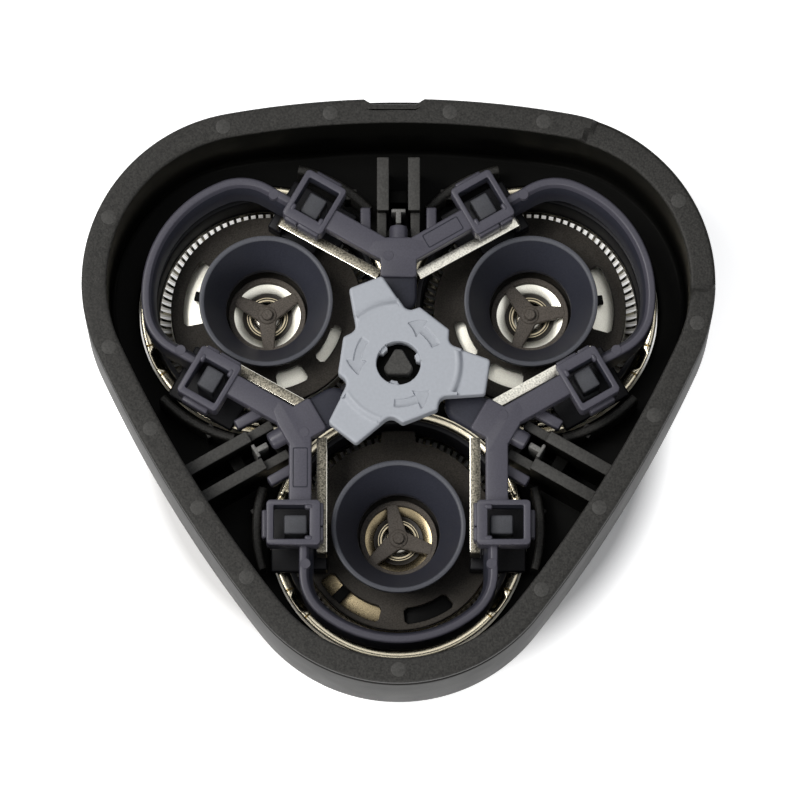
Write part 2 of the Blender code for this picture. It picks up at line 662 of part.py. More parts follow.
def trim_mesh():
    """A steel ring with an inward lip that holds the guard up against the carrier."""
    lip_top = GUARD_HEIGHT - GUARD_SHEET - CLEARANCE
    lip_radius = GUARD_RADIUS + CLEARANCE
    ring = turned([
        (TRIM_RADIUS, TRIM_TOP), (TRIM_RADIUS, TRIM_FOOT + TRIM_WALL),
        (TRIM_RADIUS - TRIM_WALL / 2, TRIM_FOOT), (lip_radius, TRIM_FOOT), (lip_radius, lip_top),
        (TRIM_INNER_RADIUS, lip_top), (TRIM_INNER_RADIUS, TRIM_TOP)], RING_STEPS)
    half = TRIM_TAB_WIDTH / 2
    tab = box((-half, TRIM_INNER_RADIUS + CLEARANCE / 2, TRIM_TOP - CLEARANCE),
              (half, TRIM_RADIUS - CLEARANCE / 2, TRIM_TOP + TRIM_TAB_HEIGHT))
    return finished_mesh(fused(ring, *copies(tab, turns(TRIM_TAB_ANGLES))), "trim_ring")


def carrier_mesh():
    """A ring with pads under the plate and, at each side, a foot with a lug and a spring step."""
    ring = turned([
        (CARRIER_RADIUS, CARRIER_TOP), (CARRIER_RADIUS, CARRIER_BOTTOM),
        (CARRIER_INNER_RADIUS, CARRIER_BOTTOM), (CARRIER_INNER_RADIUS, CARRIER_TOP)], RING_STEPS)
    wall_middle = (CARRIER_RADIUS + CARRIER_INNER_RADIUS) / 2
    half = PLATE_TAB_WIDTH / 2
    pad_top = PLATE_BOTTOM - CLEARANCE
    pad = box((PLATE_RADIUS + CLEARANCE, -half, pad_top - CARRIER_PAD_DEPTH),
              (wall_middle, half, pad_top))
    foot = box((CARRIER_FOOT_INNER, -CARRIER_FOOT_BACK, CARRIER_FOOT_BOTTOM),
               (wall_middle, CARRIER_FOOT_FRONT, CARRIER_TOP))
    cut(foot, ring_outside(wall_middle))
    step = box((CARRIER_FOOT_INNER, CARRIER_FOOT_FRONT - SPRING_STEP_LENGTH, CARRIER_TOP - CLEARANCE),
               (LUG_OFFSET - LUG_WIDTH / 2, CARRIER_FOOT_FRONT, SPRING_STEP_TOP))
    lug_middle = SOCKET_REACH - HEAD_REACH
    lug = box((LUG_OFFSET - LUG_WIDTH / 2, lug_middle - LUG_LENGTH / 2, CARRIER_FOOT_BOTTOM),
              (LUG_OFFSET + LUG_WIDTH / 2, lug_middle + LUG_LENGTH / 2, LUG_TOP))
    feet = mirrored(fused(foot, step, lug))
    return finished_mesh(fused(ring, *copies(pad, turns(PLATE_TAB_ANGLES)), *feet), "head_carrier")


def ring_outside(radius):
    """A wide ring that trims what reaches past a radius."""
    low, high = CARRIER_FOOT_BOTTOM - CLEARANCE, CARRIER_TOP + CLEARANCE
    wide = radius * 2
    return turned([(wide, high), (wide, low), (radius, low), (radius, high)], RING_STEPS)


def plate_mesh(slots):
    """A flat ring with seating tabs and long curved slots, each from one angle to another."""
    plate = turned([
        (PLATE_RADIUS, PLATE_TOP), (PLATE_RADIUS, PLATE_BOTTOM),
        (SPIGOT_RADIUS + CLEARANCE, PLATE_BOTTOM), (SPIGOT_RADIUS + CLEARANCE, PLATE_TOP)], RING_STEPS)
    half = PLATE_TAB_WIDTH / 2
    tab_start = (SLOT_OUTER_RADIUS + PLATE_RADIUS) / 2
    tab = box((tab_start, -half, PLATE_BOTTOM), (PLATE_TAB_REACH, half, PLATE_TOP))
    fused(plate, *copies(tab, turns(PLATE_TAB_ANGLES)))
    for start, end in slots:
        cut(plate, prism(arc((0, 0), SLOT_OUTER_RADIUS, start, end, PLATE_SLOT_STEPS)
                         + arc((0, 0), SLOT_INNER_RADIUS, end, start, PLATE_SLOT_STEPS),
                         PLATE_BOTTOM - CLEARANCE, PLATE_TOP + CLEARANCE))
    return finished_mesh(plate, "head_plate")


def funnel_mesh():
    """A conical cup that guides the drive spindle down to the coupling."""
    spigot_end = FUNNEL_FOOT - FUNNEL_SPIGOT_DEPTH
    return finished_mesh(turned([
        (FUNNEL_RIM_RADIUS, FUNNEL_TOP), (FUNNEL_RIM_RADIUS, FUNNEL_TOP - FUNNEL_RIM_DEPTH),
        (FUNNEL_FOOT_RADIUS, FUNNEL_FOOT), (SPIGOT_RADIUS, FUNNEL_FOOT), (SPIGOT_RADIUS, spigot_end),
        (FUNNEL_THROAT_RADIUS, spigot_end), (FUNNEL_THROAT_RADIUS, FUNNEL_FOOT),
        (FUNNEL_MOUTH_RADIUS, FUNNEL_TOP)], SMALL_STEPS), "drive_funnel")


def cutter_mesh():
    """A steel disc with leaning blades that run in the guard's slotted track."""
    bore = GUARD_PIVOT_RADIUS + CLEARANCE
    disc = turned([(CUTTER_RADIUS, CUTTER_TOP), (CUTTER_RADIUS, CUTTER_HEIGHT),
                   (bore, CUTTER_HEIGHT), (bore, CUTTER_TOP)], RING_STEPS)
    low = GUARD_SHEET + CLEARANCE
    half = CUTTER_BLADE_THICKNESS / 2
    blade = box((CUTTER_RADIUS - CUTTER_BLADE_LENGTH, -half, low - CUTTER_HEIGHT),
                (CUTTER_RADIUS - CLEARANCE, half, CUTTER_THICKNESS / 2))
    lean = Matrix.Shear("XY", 4, (0, sin(radians(CUTTER_BLADE_LEAN))))
    moved(blade, Matrix.Translation((0, 0, CUTTER_HEIGHT)) @ lean)
    blades = copies(blade, turns([360 * i / CUTTER_BLADES for i in range(CUTTER_BLADES)]))
    return finished_mesh(fused(disc, *blades), "cutter")


def coupling_mesh():
    """A three-armed spider in a ring, driven by the spindle."""
    low, high = COUPLING_BOTTOM, COUPLING_BOTTOM + COUPLING_THICKNESS
    inner = COUPLING_RADIUS - COUPLING_RING_WIDTH
    ring = turned([(COUPLING_RADIUS, high), (COUPLING_RADIUS, low), (inner, low), (inner, high)],
                  SMALL_STEPS)
    half = COUPLING_ARM_WIDTH / 2
    arm = box((0, -half, low), (COUPLING_RADIUS - COUPLING_RING_WIDTH / 2, half, high))
    hub_top = high + COUPLING_HUB_RISE
    hub = turned([(0, hub_top + COUPLING_TIP_RISE), (COUPLING_TIP_RADIUS, hub_top + COUPLING_TIP_RISE),
                  (COUPLING_TIP_RADIUS, hub_top), (COUPLING_HUB_RADIUS, hub_top),
                  (COUPLING_HUB_RADIUS, low), (0, low)], PIN_STEPS)
    return finished_mesh(fused(ring, *copies(arm, turns((0, 120, 240))), hub), "cutter_coupling")


def placed(name, mesh, material, collection, parent=None, location=(0, 0, 0), turn=0):
    """A named piece with its material, standing at a place under its parent."""
    mesh.materials.clear()
    mesh.materials.append(material)
    piece = bpy.data.objects.new(name, mesh)
    collection.objects.link(piece)
    piece.parent = parent
    piece.location = location
    piece.rotation_euler = (0, 0, radians(turn))
    return piece


def pivot(name, location, turn, collection, parent=None):
    empty = bpy.data.objects.new(name, None)
    empty.empty_display_size = CUTTER_RADIUS
    collection.objects.link(empty)
    empty.parent = parent
    empty.location = location
    empty.rotation_euler = (0, 0, radians(turn))
    return empty


def build():
    for old in list(bpy.data.objects):
        bpy.data.objects.remove(old)
    parts = new_collection("rotary_shaver_head")

    dark_shell = new_material("dark_shell", (0.032, 0.031, 0.027), 0.55, 0.0)
    frame_plastic = new_material("frame_plastic", (0.068, 0.067, 0.092), 0.42, 0.0)
    lock_plastic = new_material("lock_plastic", (0.48, 0.50, 0.56), 0.35, 0.0)
    spring_steel = new_material("spring_steel", (0.50, 0.48, 0.41), 0.35, 1.0)
    warm_steel = new_material("warm_steel", (0.58, 0.55, 0.42), 0.25, 1.0)
    carrier_plastic = new_material("carrier_plastic", (0.035, 0.035, 0.040), 0.45, 0.0)
    plate_plastic = new_material("plate_plastic", (0.042, 0.036, 0.028), 0.55, 0.0)
    funnel_plastic = new_material("funnel_plastic", (0.017, 0.019, 0.028), 0.40, 0.0)
    coupling_plastic = new_material("coupling_plastic", (0.12, 0.10, 0.085), 0.50, 0.0)

    middle = pivot("lock_axis", LOCK_AXIS, 0, parts)
    placed("outer_cover", cover_mesh(), dark_shell, parts, middle)
    placed("holder", holder_mesh(), dark_shell, parts, middle)
    placed("retaining_frame", frame_mesh(), frame_plastic, parts, middle)
    placed("lock", lock_mesh(), lock_plastic, parts, middle)

    right_spring = spring_mesh()
    left_spring = right_spring.copy()
    left_spring.transform(Matrix.Scale(-1, 4, (1, 0, 0)))
    left_spring.flip_normals()
    guard, trim, carrier, funnel = guard_mesh(), trim_mesh(), carrier_mesh(), funnel_mesh()
    cutter, coupling = cutter_mesh(), coupling_mesh()
    for name, direction in HEADS.items():
        outward = direction - 90
        placed(f"leaf_spring_{name}_a", right_spring, spring_steel, parts, middle, turn=outward)
        placed(f"leaf_spring_{name}_b", left_spring, spring_steel, parts, middle, turn=outward)
        place = (*head_centre(name), TILT_AXIS_HEIGHT)
        tilt = pivot(f"{name}_tilt_axis", place, outward, parts, middle)
        down = (0, 0, -TILT_AXIS_HEIGHT)
        placed(f"guard_{name}", guard, warm_steel, parts, tilt, down)
        placed(f"trim_ring_{name}", trim, warm_steel, parts, tilt, down)
        placed(f"head_carrier_{name}", carrier, carrier_plastic, parts, tilt, down)
        placed(f"head_plate_{name}", plate_mesh(PLATE_SLOTS[name]), plate_plastic, parts, tilt, down)
        placed(f"drive_funnel_{name}", funnel, funnel_plastic, parts, tilt, down)
        spin = CUTTER_REST[name] - outward
        placed(f"cutter_{name}", cutter, warm_steel, parts, tilt, down, spin)
        placed(f"cutter_coupling_{name}", coupling, coupling_plastic, parts, tilt, down, spin)
    for mesh in [mesh for mesh in bpy.data.meshes if mesh.users == 0]:
        bpy.data.meshes.remove(mesh)


build()
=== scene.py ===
import json

import bmesh
import bpy
import numpy as np
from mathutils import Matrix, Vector
from mathutils.geometry import tessellate_polygon


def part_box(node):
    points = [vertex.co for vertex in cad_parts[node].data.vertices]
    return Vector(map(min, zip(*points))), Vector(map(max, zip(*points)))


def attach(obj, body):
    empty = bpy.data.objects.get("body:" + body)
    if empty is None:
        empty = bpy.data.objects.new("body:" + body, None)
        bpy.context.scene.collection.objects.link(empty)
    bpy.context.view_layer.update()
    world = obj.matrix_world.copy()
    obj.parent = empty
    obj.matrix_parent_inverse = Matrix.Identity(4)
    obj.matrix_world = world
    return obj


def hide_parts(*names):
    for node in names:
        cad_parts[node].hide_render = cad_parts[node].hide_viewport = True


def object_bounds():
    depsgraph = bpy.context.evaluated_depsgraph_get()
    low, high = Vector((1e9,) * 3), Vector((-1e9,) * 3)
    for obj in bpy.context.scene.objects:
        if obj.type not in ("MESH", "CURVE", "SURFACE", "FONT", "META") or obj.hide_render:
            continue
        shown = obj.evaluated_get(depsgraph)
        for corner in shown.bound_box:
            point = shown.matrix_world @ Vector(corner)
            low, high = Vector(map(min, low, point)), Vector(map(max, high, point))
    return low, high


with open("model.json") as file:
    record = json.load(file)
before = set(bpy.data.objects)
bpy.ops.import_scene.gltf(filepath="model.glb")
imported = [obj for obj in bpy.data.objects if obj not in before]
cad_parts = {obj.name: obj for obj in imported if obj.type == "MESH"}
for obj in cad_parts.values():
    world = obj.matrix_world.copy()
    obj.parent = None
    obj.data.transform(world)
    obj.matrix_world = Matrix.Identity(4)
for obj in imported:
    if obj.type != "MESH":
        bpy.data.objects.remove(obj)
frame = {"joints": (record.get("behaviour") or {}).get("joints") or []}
cad_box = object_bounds()
MM = 0.001

# Outer cover
# The real piece is a moulded tray with smooth outer walls and a rounded front edge, in which
# three round holes let the heads through. The holder clips into it under the rim.


def arc(centre, radius, start, end, steps):
    """Points centre + radius * (cos a, sin a) for steps + 1 even angles a, in degrees."""
    angle = np.radians(np.linspace(start, end, steps + 1))
    return np.array(centre) + radius * np.stack([np.cos(angle), np.sin(angle)], axis=1)


def polar(radius, angle):
    """The point radius * (cos a, sin a) for an angle a in degrees."""
    return radius * np.array([np.cos(np.radians(angle)), np.sin(np.radians(angle))])


def bearing(points):
    """The direction of each point seen from the origin, atan2(y, x) in degrees."""
    return np.degrees(np.arctan2(points[..., 1], points[..., 0]))


corner_names = ("front", "right", "left")
joints = {joint["name"]: joint for joint in frame["joints"]}
on_plan = (1, 1, 0)
lock_axis = np.array(joints["lock_turn"]["pos_m"]) / MM * on_plan
heads = {name: np.array(joints[f"head_{name}_tilt"]["pos_m"]) / MM * on_plan for name in corner_names}
outward = {name: bearing(heads[name] - lock_axis) for name in corner_names}

back_corner_reach, back_corner_radius = 16.97, 18.15
front_corner_reach, front_corner_radius = 15.6, 18.1
flank_radius, back_side_radius = 140.0, 99.6


def housing_arcs():
    """Centre, radius and direction of the normal at each point of the outline, which is six arcs. A
    side arc's centre lies where circles of its radius less the corner's about two corners meet."""
    reach = {"front": front_corner_reach, "right": back_corner_reach, "left": back_corner_reach}
    radius = {"front": front_corner_radius, "right": back_corner_radius, "left": back_corner_radius}
    corners = [lock_axis[:2] + polar(reach[name], outward[name]) for name in corner_names]
    radii = [radius[name] for name in corner_names]
    side_radii = [flank_radius, back_side_radius, flank_radius]
    sides = []
    for i, side_radius in enumerate(side_radii):
        a, b = side_radius - radii[i], side_radius - radii[(i + 1) % 3]
        span = corners[(i + 1) % 3] - corners[i]
        length = np.linalg.norm(span)
        along = (a * a - b * b + length * length) / (2 * length)
        across = np.sqrt(a * a - along * along)
        sides.append(corners[i] + span / length * along
                     + np.array([-span[1], span[0]]) / length * across)
    centres, all_radii, angles = [], [], []

    def sweep(centre, arc_radius, start, end, steps):
        end += 360 * (end < start)
        angles.append(np.linspace(start, end, steps, endpoint=False))
        centres.append(np.tile(centre, (steps, 1)))
        all_radii.append(np.full(steps, arc_radius))

    for i in range(3):
        before, after = bearing(corners[i] - sides[i - 1]), bearing(corners[i] - sides[i])
        ahead = bearing(corners[(i + 1) % 3] - sides[i])
        sweep(corners[i], radii[i], before, after, 56)
        sweep(sides[i], side_radii[i], after, ahead, 40)
    return np.concatenate(centres), np.concatenate(all_radii), np.concatenate(angles)


outline_centres, outline_radii, outline_angles = housing_arcs()
outline_normals = polar(1.0, outline_angles).T


def housing_outline(inset):
    """Points of the outline moved in: arc centre + (arc radius - inset) * normal."""
    return outline_centres + (outline_radii - inset)[:, None] * outline_normals


def grid(points, wrap_rows=True, wrap_columns=True):
    """An array of rows and columns of points as a part: its points, and quads between neighbours. The
    last row or column may be joined to the first."""
    rows, columns = points.shape[:2]
    row = np.arange(rows if wrap_rows else rows - 1)[:, None]
    column = np.arange(columns if wrap_columns else columns - 1)[None]
    next_row, next_column = (row + 1) % rows, (column + 1) % columns
    quads = np.stack([row * columns + column, row * columns + next_column,
                      next_row * columns + next_column, next_row * columns + column], axis=-1)
    return points.reshape(-1, 3), quads.reshape(-1, 4).tolist()


def moved(part, angle=0.0, place=(0, 0, 0)):
    """The part turned about the z axis by an angle in degrees and then moved, with its paint."""
    points, faces, *paint = part
    turn = np.radians(angle)
    spin = np.array([[np.cos(turn), -np.sin(turn), 0], [np.sin(turn), np.cos(turn), 0], [0, 0, 1]])
    return points @ spin.T + np.array(place), faces, *paint


def piece(name, parts, *materials, sharp=40.0):
    """One object in metres from parts in millimetres. A part is points, faces and, where it isn't all
    of the first material, its paint: the number of its material, or one number for each face."""
    points, faces, paint = [], [], []
    start = 0
    for part in parts:
        points.append(part[0])
        faces += [[start + i for i in face] for face in part[1]]
        paint += np.broadcast_to(part[2] if len(part) > 2 else 0, len(part[1])).tolist()
        start += len(part[0])
    mesh = bpy.data.meshes.new(name)
    mesh.from_pydata(np.concatenate(points) * MM, [], faces)
    edit = bmesh.new()
    edit.from_mesh(mesh)
    for face, index in zip(edit.faces, paint):
        face.material_index = index
    bmesh.ops.remove_doubles(edit, verts=edit.verts, dist=1e-7)
    bmesh.ops.recalc_face_normals(edit, faces=edit.faces)
    edit.to_mesh(mesh)
    edit.free()
    mesh.shade_smooth()
    mesh.set_sharp_from_angle(angle=np.radians(sharp))
    for material in materials:
        mesh.materials.append(material)
    made = bpy.data.objects.new(name, mesh)
    bpy.context.scene.collection.objects.link(made)
    return made


def level(flat, height):
    """Flat points lifted to one height, or each to its own."""
    return np.column_stack([flat, np.broadcast_to(height, len(flat))])


def filled(loops, height):
    """The flat area inside the first loop and outside the others, as triangles at one height."""
    flat = [[(x, y, 0.0) for x, y in loop] for loop in loops]
    points = np.concatenate([np.asarray(loop) for loop in loops])
    triangles = [list(triangle) for triangle in tessellate_polygon(flat)]
    return level(points, height), triangles


hole_steps = 96


def revolved(profile, steps=hole_steps, closed=True):
    """A (radius, height) profile turned about the z axis: (r cos a, r sin a, z)."""
    profile = np.array(profile)
    turn = np.linspace(0, 2 * np.pi, steps, endpoint=False)
    radius, height = profile[:, :1], profile[:, 1:]
    points = np.stack([radius * np.cos(turn), radius * np.sin(turn),
                       np.broadcast_to(height, (len(profile), steps))], axis=-1)
    return grid(points, wrap_rows=closed)


def heights(node):
    """The lowest and highest point of a CAD node, in millimetres."""
    low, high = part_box(node)
    return low[2] / MM, high[2] / MM


def noise(nodes, links, size, detail):
    """A noise on Object coordinates whose features have a size in millimetres."""
    node = nodes.new("ShaderNodeTexNoise")
    node.inputs["Scale"].default_value = 1 / (size * MM)
    node.inputs["Detail"].default_value = detail
    links.new(nodes.new("ShaderNodeTexCoord").outputs["Object"], node.inputs["Vector"])
    return node.outputs["Fac"]


def remapped(nodes, links, value, target, **limits):
    """Carry a value to a socket through a Map Range with the limits given by name."""
    node = nodes.new("ShaderNodeMapRange")
    for limit, number in limits.items():
        node.inputs[limit.replace("_", " ")].default_value = number
    links.new(value, node.inputs["Value"])
    links.new(node.outputs["Result"], target)


def grained(name, colour, contrast, half_range, grain, relief):
    """A material with a fine noise in its colour, from 1 - contrast to 1 + contrast times the colour
    over the noise's middle 2 * half_range, and in its bump. Returns it with its tree's parts."""
    material = bpy.data.materials.new(name)
    material.use_nodes = True
    nodes, links = material.node_tree.nodes, material.node_tree.links
    shader = nodes["Principled BSDF"]
    fine = noise(nodes, links, grain, 3.0)
    blend = nodes.new("ShaderNodeMix")
    blend.data_type = "RGBA"
    blend.inputs["A"].default_value = (*[c * (1 - contrast) for c in colour], 1)
    blend.inputs["B"].default_value = (*[min(1.0, c * (1 + contrast)) for c in colour], 1)
    remapped(nodes, links, fine, blend.inputs["Factor"], From_Min=0.5 - half_range, From_Max=0.5 + half_range)
    links.new(blend.outputs["Result"], shader.inputs["Base Color"])
    bump = nodes.new("ShaderNodeBump")
    bump.inputs["Distance"].default_value = relief * MM
    links.new(fine, bump.inputs["Height"])
    links.new(bump.outputs["Normal"], shader.inputs["Normal"])
    return material, nodes, links, shader, fine


def moulded_plastic(name, colour, roughness=0.4, grain=0.2, relief=0.004, mottle=0.1, sheen=0.12):
    """Injection-moulded plastic: a spark-eroded grain in the bump, a slight mottle in the colour and
    a gloss that varies over a few millimetres. grain and relief are in millimetres."""
    material, nodes, links, shader, _ = grained(name, colour, mottle, 0.18, grain, relief)
    shader.inputs["Specular IOR Level"].default_value = sheen
    remapped(nodes, links, noise(nodes, links, 3.5, 2.0), shader.inputs["Roughness"],
             To_Min=roughness - 0.06, To_Max=roughness + 0.06)
    return material


cover_front, cover_top = heights("outer_cover")
cover_wall, cover_sheet, hole_radius = 1.6, 1.4, 13.45
hole_edge = 0.2
cover_floor = cover_front + cover_sheet
cover_section = np.concatenate([
    arc((3.0, cover_front + 3.0), 3.0, 270, 180, 12),
    arc((0.25, cover_top - 0.25), 0.25, 180, 90, 4),
    arc((cover_wall - 0.25, cover_top - 0.25), 0.25, 90, 0, 4),
    arc((cover_wall + 0.5, cover_floor + 0.5), 0.5, 180, 270, 4)])
cover_rings = np.stack([level(housing_outline(inset), height) for inset, height in cover_section])
hole_circle = arc((0, 0), hole_radius + hole_edge, 0, 360, hole_steps)[:-1]
hole_loops = [hole_circle + heads[name][:2] for name in corner_names]


def hole_walls(low, high):
    """The walls of the three holes between two heights, with rounded edges."""
    wall = np.concatenate([
        arc((hole_radius + hole_edge, low + hole_edge), hole_edge, 270, 180, 3),
        arc((hole_radius + hole_edge, high - hole_edge), hole_edge, 180, 90, 3)])
    return [moved(revolved(wall, closed=False), place=heads[name]) for name in corner_names]


cover_parts = [grid(cover_rings, wrap_rows=False),
               filled([cover_rings[0, :, :2], *hole_loops], cover_front),
               filled([cover_rings[-1, :, :2], *hole_loops], cover_floor),
               *hole_walls(cover_front, cover_floor)]
cover_plastic = moulded_plastic("cover_plastic", (0.018, 0.0177, 0.0165), roughness=0.42, grain=0.09,
                                mottle=0.05, sheen=0.08)
cover = piece("cover_shell", cover_parts, cover_plastic)
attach(cover, "root")
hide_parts("outer_cover")

# Holder
# The inner shell is one dark moulding: a grained rim with ejector marks that rests on the cover, a
# polished wall and floor painted near-black as shade, ribs that take the frame's pins, guide ears, and
# the post for the lock.
floor_bottom, rim_top = heights("holder")
rim_bottom = cover_top + 0.3
wall_inset = cover_wall + 0.3
rim_width = wall_inset + 0.7
floor_top = floor_bottom + 1.0
lowered_from, lowered_to, lowered_by = 13.3, 51.2, 0.75


def filleted(corners, radii, steps=5):
    """A closed outline whose corners are arcs. An arc that turns by t touches both sides at
    radius * tan(t / 2) from the corner. With u and v the ways from its centre to its ends, its points
    are centre + (sin((1 - s) t) u + sin(s t) v) / sin t for shares s from 0 to 1. A corner without
    a radius, or almost straight, stays a point."""
    corners = np.array(corners, dtype=float)
    pieces = []
    for i, radius in enumerate(radii):
        corner = corners[i]
        to_last, to_next = corners[i - 1] - corner, corners[(i + 1) % len(corners)] - corner
        to_last, to_next = to_last / np.linalg.norm(to_last), to_next / np.linalg.norm(to_next)
        half = np.arccos(np.clip(to_last @ to_next, -1, 1)) / 2
        if radius == 0 or abs(np.pi / 2 - half) < 0.01:
            pieces.append(corner[None])
            continue
        centre = corner + (to_last + to_next) / np.linalg.norm(to_last + to_next) * radius / np.sin(half)
        first, last = corner + to_last * radius / np.tan(half), corner + to_next * radius / np.tan(half)
        share = np.linspace(0, 1, steps + 1)[:, None]
        turn = np.pi - 2 * half
        spread = (np.sin((1 - share) * turn) * (first - centre) + np.sin(share * turn) * (last - centre))
        pieces.append(centre + spread / np.sin(turn))
    return np.concatenate(pieces)


def capped(rings):
    """Rings of points as a closed part, with one flat face over each end."""
    points, faces = grid(rings, wrap_rows=False)
    count = rings.shape[1]
    return points, faces + [list(range(count)), list(range(len(points) - count, len(points)))]


def rounded_box(low, high, radius, steps=3):
    """A box with rounded edges between two opposite corners. Its points are those of a small sphere,
    each moved out to its own corner of the box that is smaller by the radius."""
    low, high = np.array(low, dtype=float), np.array(high, dtype=float)
    inner = (high - low) / 2 - radius
    quarter = np.linspace(0, np.pi / 2, steps + 1)
    round_angle = (np.arange(4)[:, None] * np.pi / 2 + quarter).ravel()
    round_x = np.repeat([1, -1, -1, 1], steps + 1)
    round_y = np.repeat([1, 1, -1, -1], steps + 1)
    rise = np.concatenate([quarter - np.pi / 2, quarter])[:, None]
    rise_sign = np.repeat([-1, 1], steps + 1)[:, None]
    points = np.stack([
        radius * np.cos(rise) * np.cos(round_angle) + round_x * inner[0],
        radius * np.cos(rise) * np.sin(round_angle) + round_y * inner[1],
        radius * np.sin(rise) + rise_sign * inner[2] + 0 * round_angle], axis=-1) + (low + high) / 2
    return capped(points)


def both_sides(parts):
    """The parts and their mirror images across x = 0."""
    return [*parts, *[(points * (-1, 1, 1), *rest) for points, *rest in parts]]


def turn_between(angle, base, period=360.0):
    """How far an angle is turned from a base, from minus half a period up to half a period."""
    return (angle - base + period / 2) % period - period / 2


def smooth_step(value, start, end):
    """0 before start and 1 after end, with a smooth rise 3t^2 - 2t^3 between them."""
    t = np.clip((value - start) / (end - start), 0, 1)
    return t * t * (3 - 2 * t)


def rim_shape(rings):
    """The rim as it is moulded: lower round one back corner, and with a shallow notch at the back."""
    x, y, z = rings[..., 0], rings[..., 1], rings[..., 2]
    away = bearing(rings - lock_axis)
    in_corner = smooth_step(away, lowered_from, lowered_from + 0.4) * (
        1 - smooth_step(away, lowered_to - 0.4, lowered_to))
    on_top = smooth_step(z, rim_top - 0.6, rim_top - 0.3)
    rings[..., 2] = z - lowered_by * in_corner * on_top
    in_notch = 1 - smooth_step(np.abs(x + 0.35), 2.3, 2.7)
    back = cad_box[1][1] / MM
    at_back = smooth_step(y, back - 1.2, back - 0.8)
    rings[..., 1] = y - 0.6 * in_notch * at_back * (z > rim_bottom - 0.1)
    return rings


holder_section = np.concatenate([
    arc((rim_width + 0.6, floor_top + 0.6), 0.6, 270, 180, 4),
    arc((rim_width - 0.3, rim_top - 0.3), 0.3, 0, 90, 4),
    [(inset, rim_top) for inset in (1.9, 1.5, 1.1, 0.7)],
    arc((0.35, rim_top - 0.35), 0.35, 90, 180, 5),
    [(0.0, rim_bottom + 0.62), (0.12, rim_bottom + 0.5), (0.4, rim_bottom)],
    arc((wall_inset + 0.3, floor_bottom + 0.3), 0.3, 180, 270, 4)])
holder_rings = rim_shape(np.stack([level(housing_outline(inset), height)
                                   for inset, height in holder_section]))
# Polished and painted near-black as shade are the inner wall up to the rim, and the outer wall below it as a
# painted shadow in the gap under the rim
points, faces = grid(holder_rings, wrap_rows=False)
ring_number = np.arange(len(faces)) // len(outline_radii)
on_wall = (ring_number < 5) | (ring_number > len(holder_section) - 8)
holder_parts = [(points, faces, on_wall * 1),
                (*filled([holder_rings[0, :, :2], *hole_loops], floor_top), 1),
                filled([holder_rings[-1, :, :2], *hole_loops], floor_bottom),
                *[(*wall, 1) for wall in hole_walls(floor_bottom, floor_top)]]


def topped(box):
    """A rounded box whose top, down to its edge's end, takes the lighter mark colour, and whose walls take
    the dark polish painted as shade.
    """
    points, faces = box
    above = np.array([points[face, 2].min() for face in faces]) > points[:, 2].max() - 0.13
    return points, faces, 1 + above


# Twin ribs towards the gaps between the heads, each pair with a step, and the blocks about them
foot = floor_top - 0.5
rib_near, rib_far, rib_step, rib_top = 1.0, 2.25, 0.25, 13.7
for direction, reach in ((90, 22.7), (210, 24.8), (330, 24.8)):
    walls = both_sides([
        rounded_box((rib_near, 17.0, foot), (rib_far, reach, rib_top), 0.12),
        rounded_box((rib_near + rib_step, 14.2, foot), (rib_far, 17.2, 12.4), 0.12),
        rounded_box((4.4, 19.3, foot), (5.7, 20.4, 9.0), 0.12)])
    ribs = [topped(wall) for wall in walls]
    # Half width, start, end, top and material of each block between the ribs
    # Material 3, on the small T-shaped blocks, is a painted highlight
    for half, start, end, top, paint in ((2.0, 14.5, 15.2, 12.1, 1), (0.28, 15.7, 17.0, 13.2, 3),
                                         (0.75, 16.9, 17.25, 13.2, 3), (0.95, 18.5, 19.9, 10.5, 1)):
        ribs.append((*rounded_box((-half, start, foot), (half, end, top), 0.1), paint))
    holder_parts += [moved(rib, direction - 90, lock_axis) for rib in ribs]

# Guide ears at both sides of each head
ear_inner, ear_outer, ear_top = 14.35, 15.25, floor_top + 4.0
ear_section = filleted([(ear_inner, foot), (ear_outer, foot), (ear_outer, ear_top), (ear_inner, ear_top)],
                       [0, 0, 0.3, 0.3])
ear_radius, ear_height = ear_section.T
swing = np.radians(np.linspace(-17, 17, 15))[:, None]
ear = capped(np.stack([ear_radius * np.cos(swing), ear_radius * np.sin(swing), ear_height + 0 * swing],
                      axis=-1))
for name in corner_names:
    holder_parts += [moved(ear, outward[name] - 90 + side, heads[name]) for side in (0, 180)]

# The lock's post, and its three-winged head
shoulder = heights("retaining_frame")[1] - 0.3
post_foot = floor_bottom + 0.2
post_section = filleted([(0, shoulder), (3.1, shoulder), (3.1, shoulder - 3.0), (2.2, 9.8), (2.2, post_foot),
                         (0, post_foot)], [0, 0.25, 0.3, 0.3, 0, 0])
holder_parts.append((*moved(revolved(post_section, 64, closed=False), place=lock_axis), 1))
head_corners = np.concatenate([arc((0, 0), 1.6, direction - 14, direction + 14, 1)
                               for direction in (90, 210, 330)])
head_outline = filleted(head_corners, [0.35] * 6, 4)
head_levels = ((1.0, -0.3), (1.0, 1.6), (0.97, 1.78), (0.9, 1.9))
head_rings = np.stack([level(head_outline * size, shoulder + height) for size, height in head_levels])
holder_parts.append((*moved(capped(head_rings), place=lock_axis), 2))

# Ejector marks on the rim, each by its direction from the lock
mark_line = housing_outline(1.35)
disc = revolved([(0.001, -0.2), (0.001, 0.02), (0.7, 0.02), (0.76, 0.0), (0.8, -0.2)], 32)
for direction in (153, 177, 195, 217, 236, 270, 301, 323, 348, 7, 31, 59, 79, 106, 126):
    nearest = np.abs(turn_between(bearing(mark_line - lock_axis[:2]), direction)).argmin()
    low_here = lowered_by * (lowered_from < direction < lowered_to)
    holder_parts.append((*moved(disc, place=(*mark_line[nearest], rim_top - low_here)), 2))

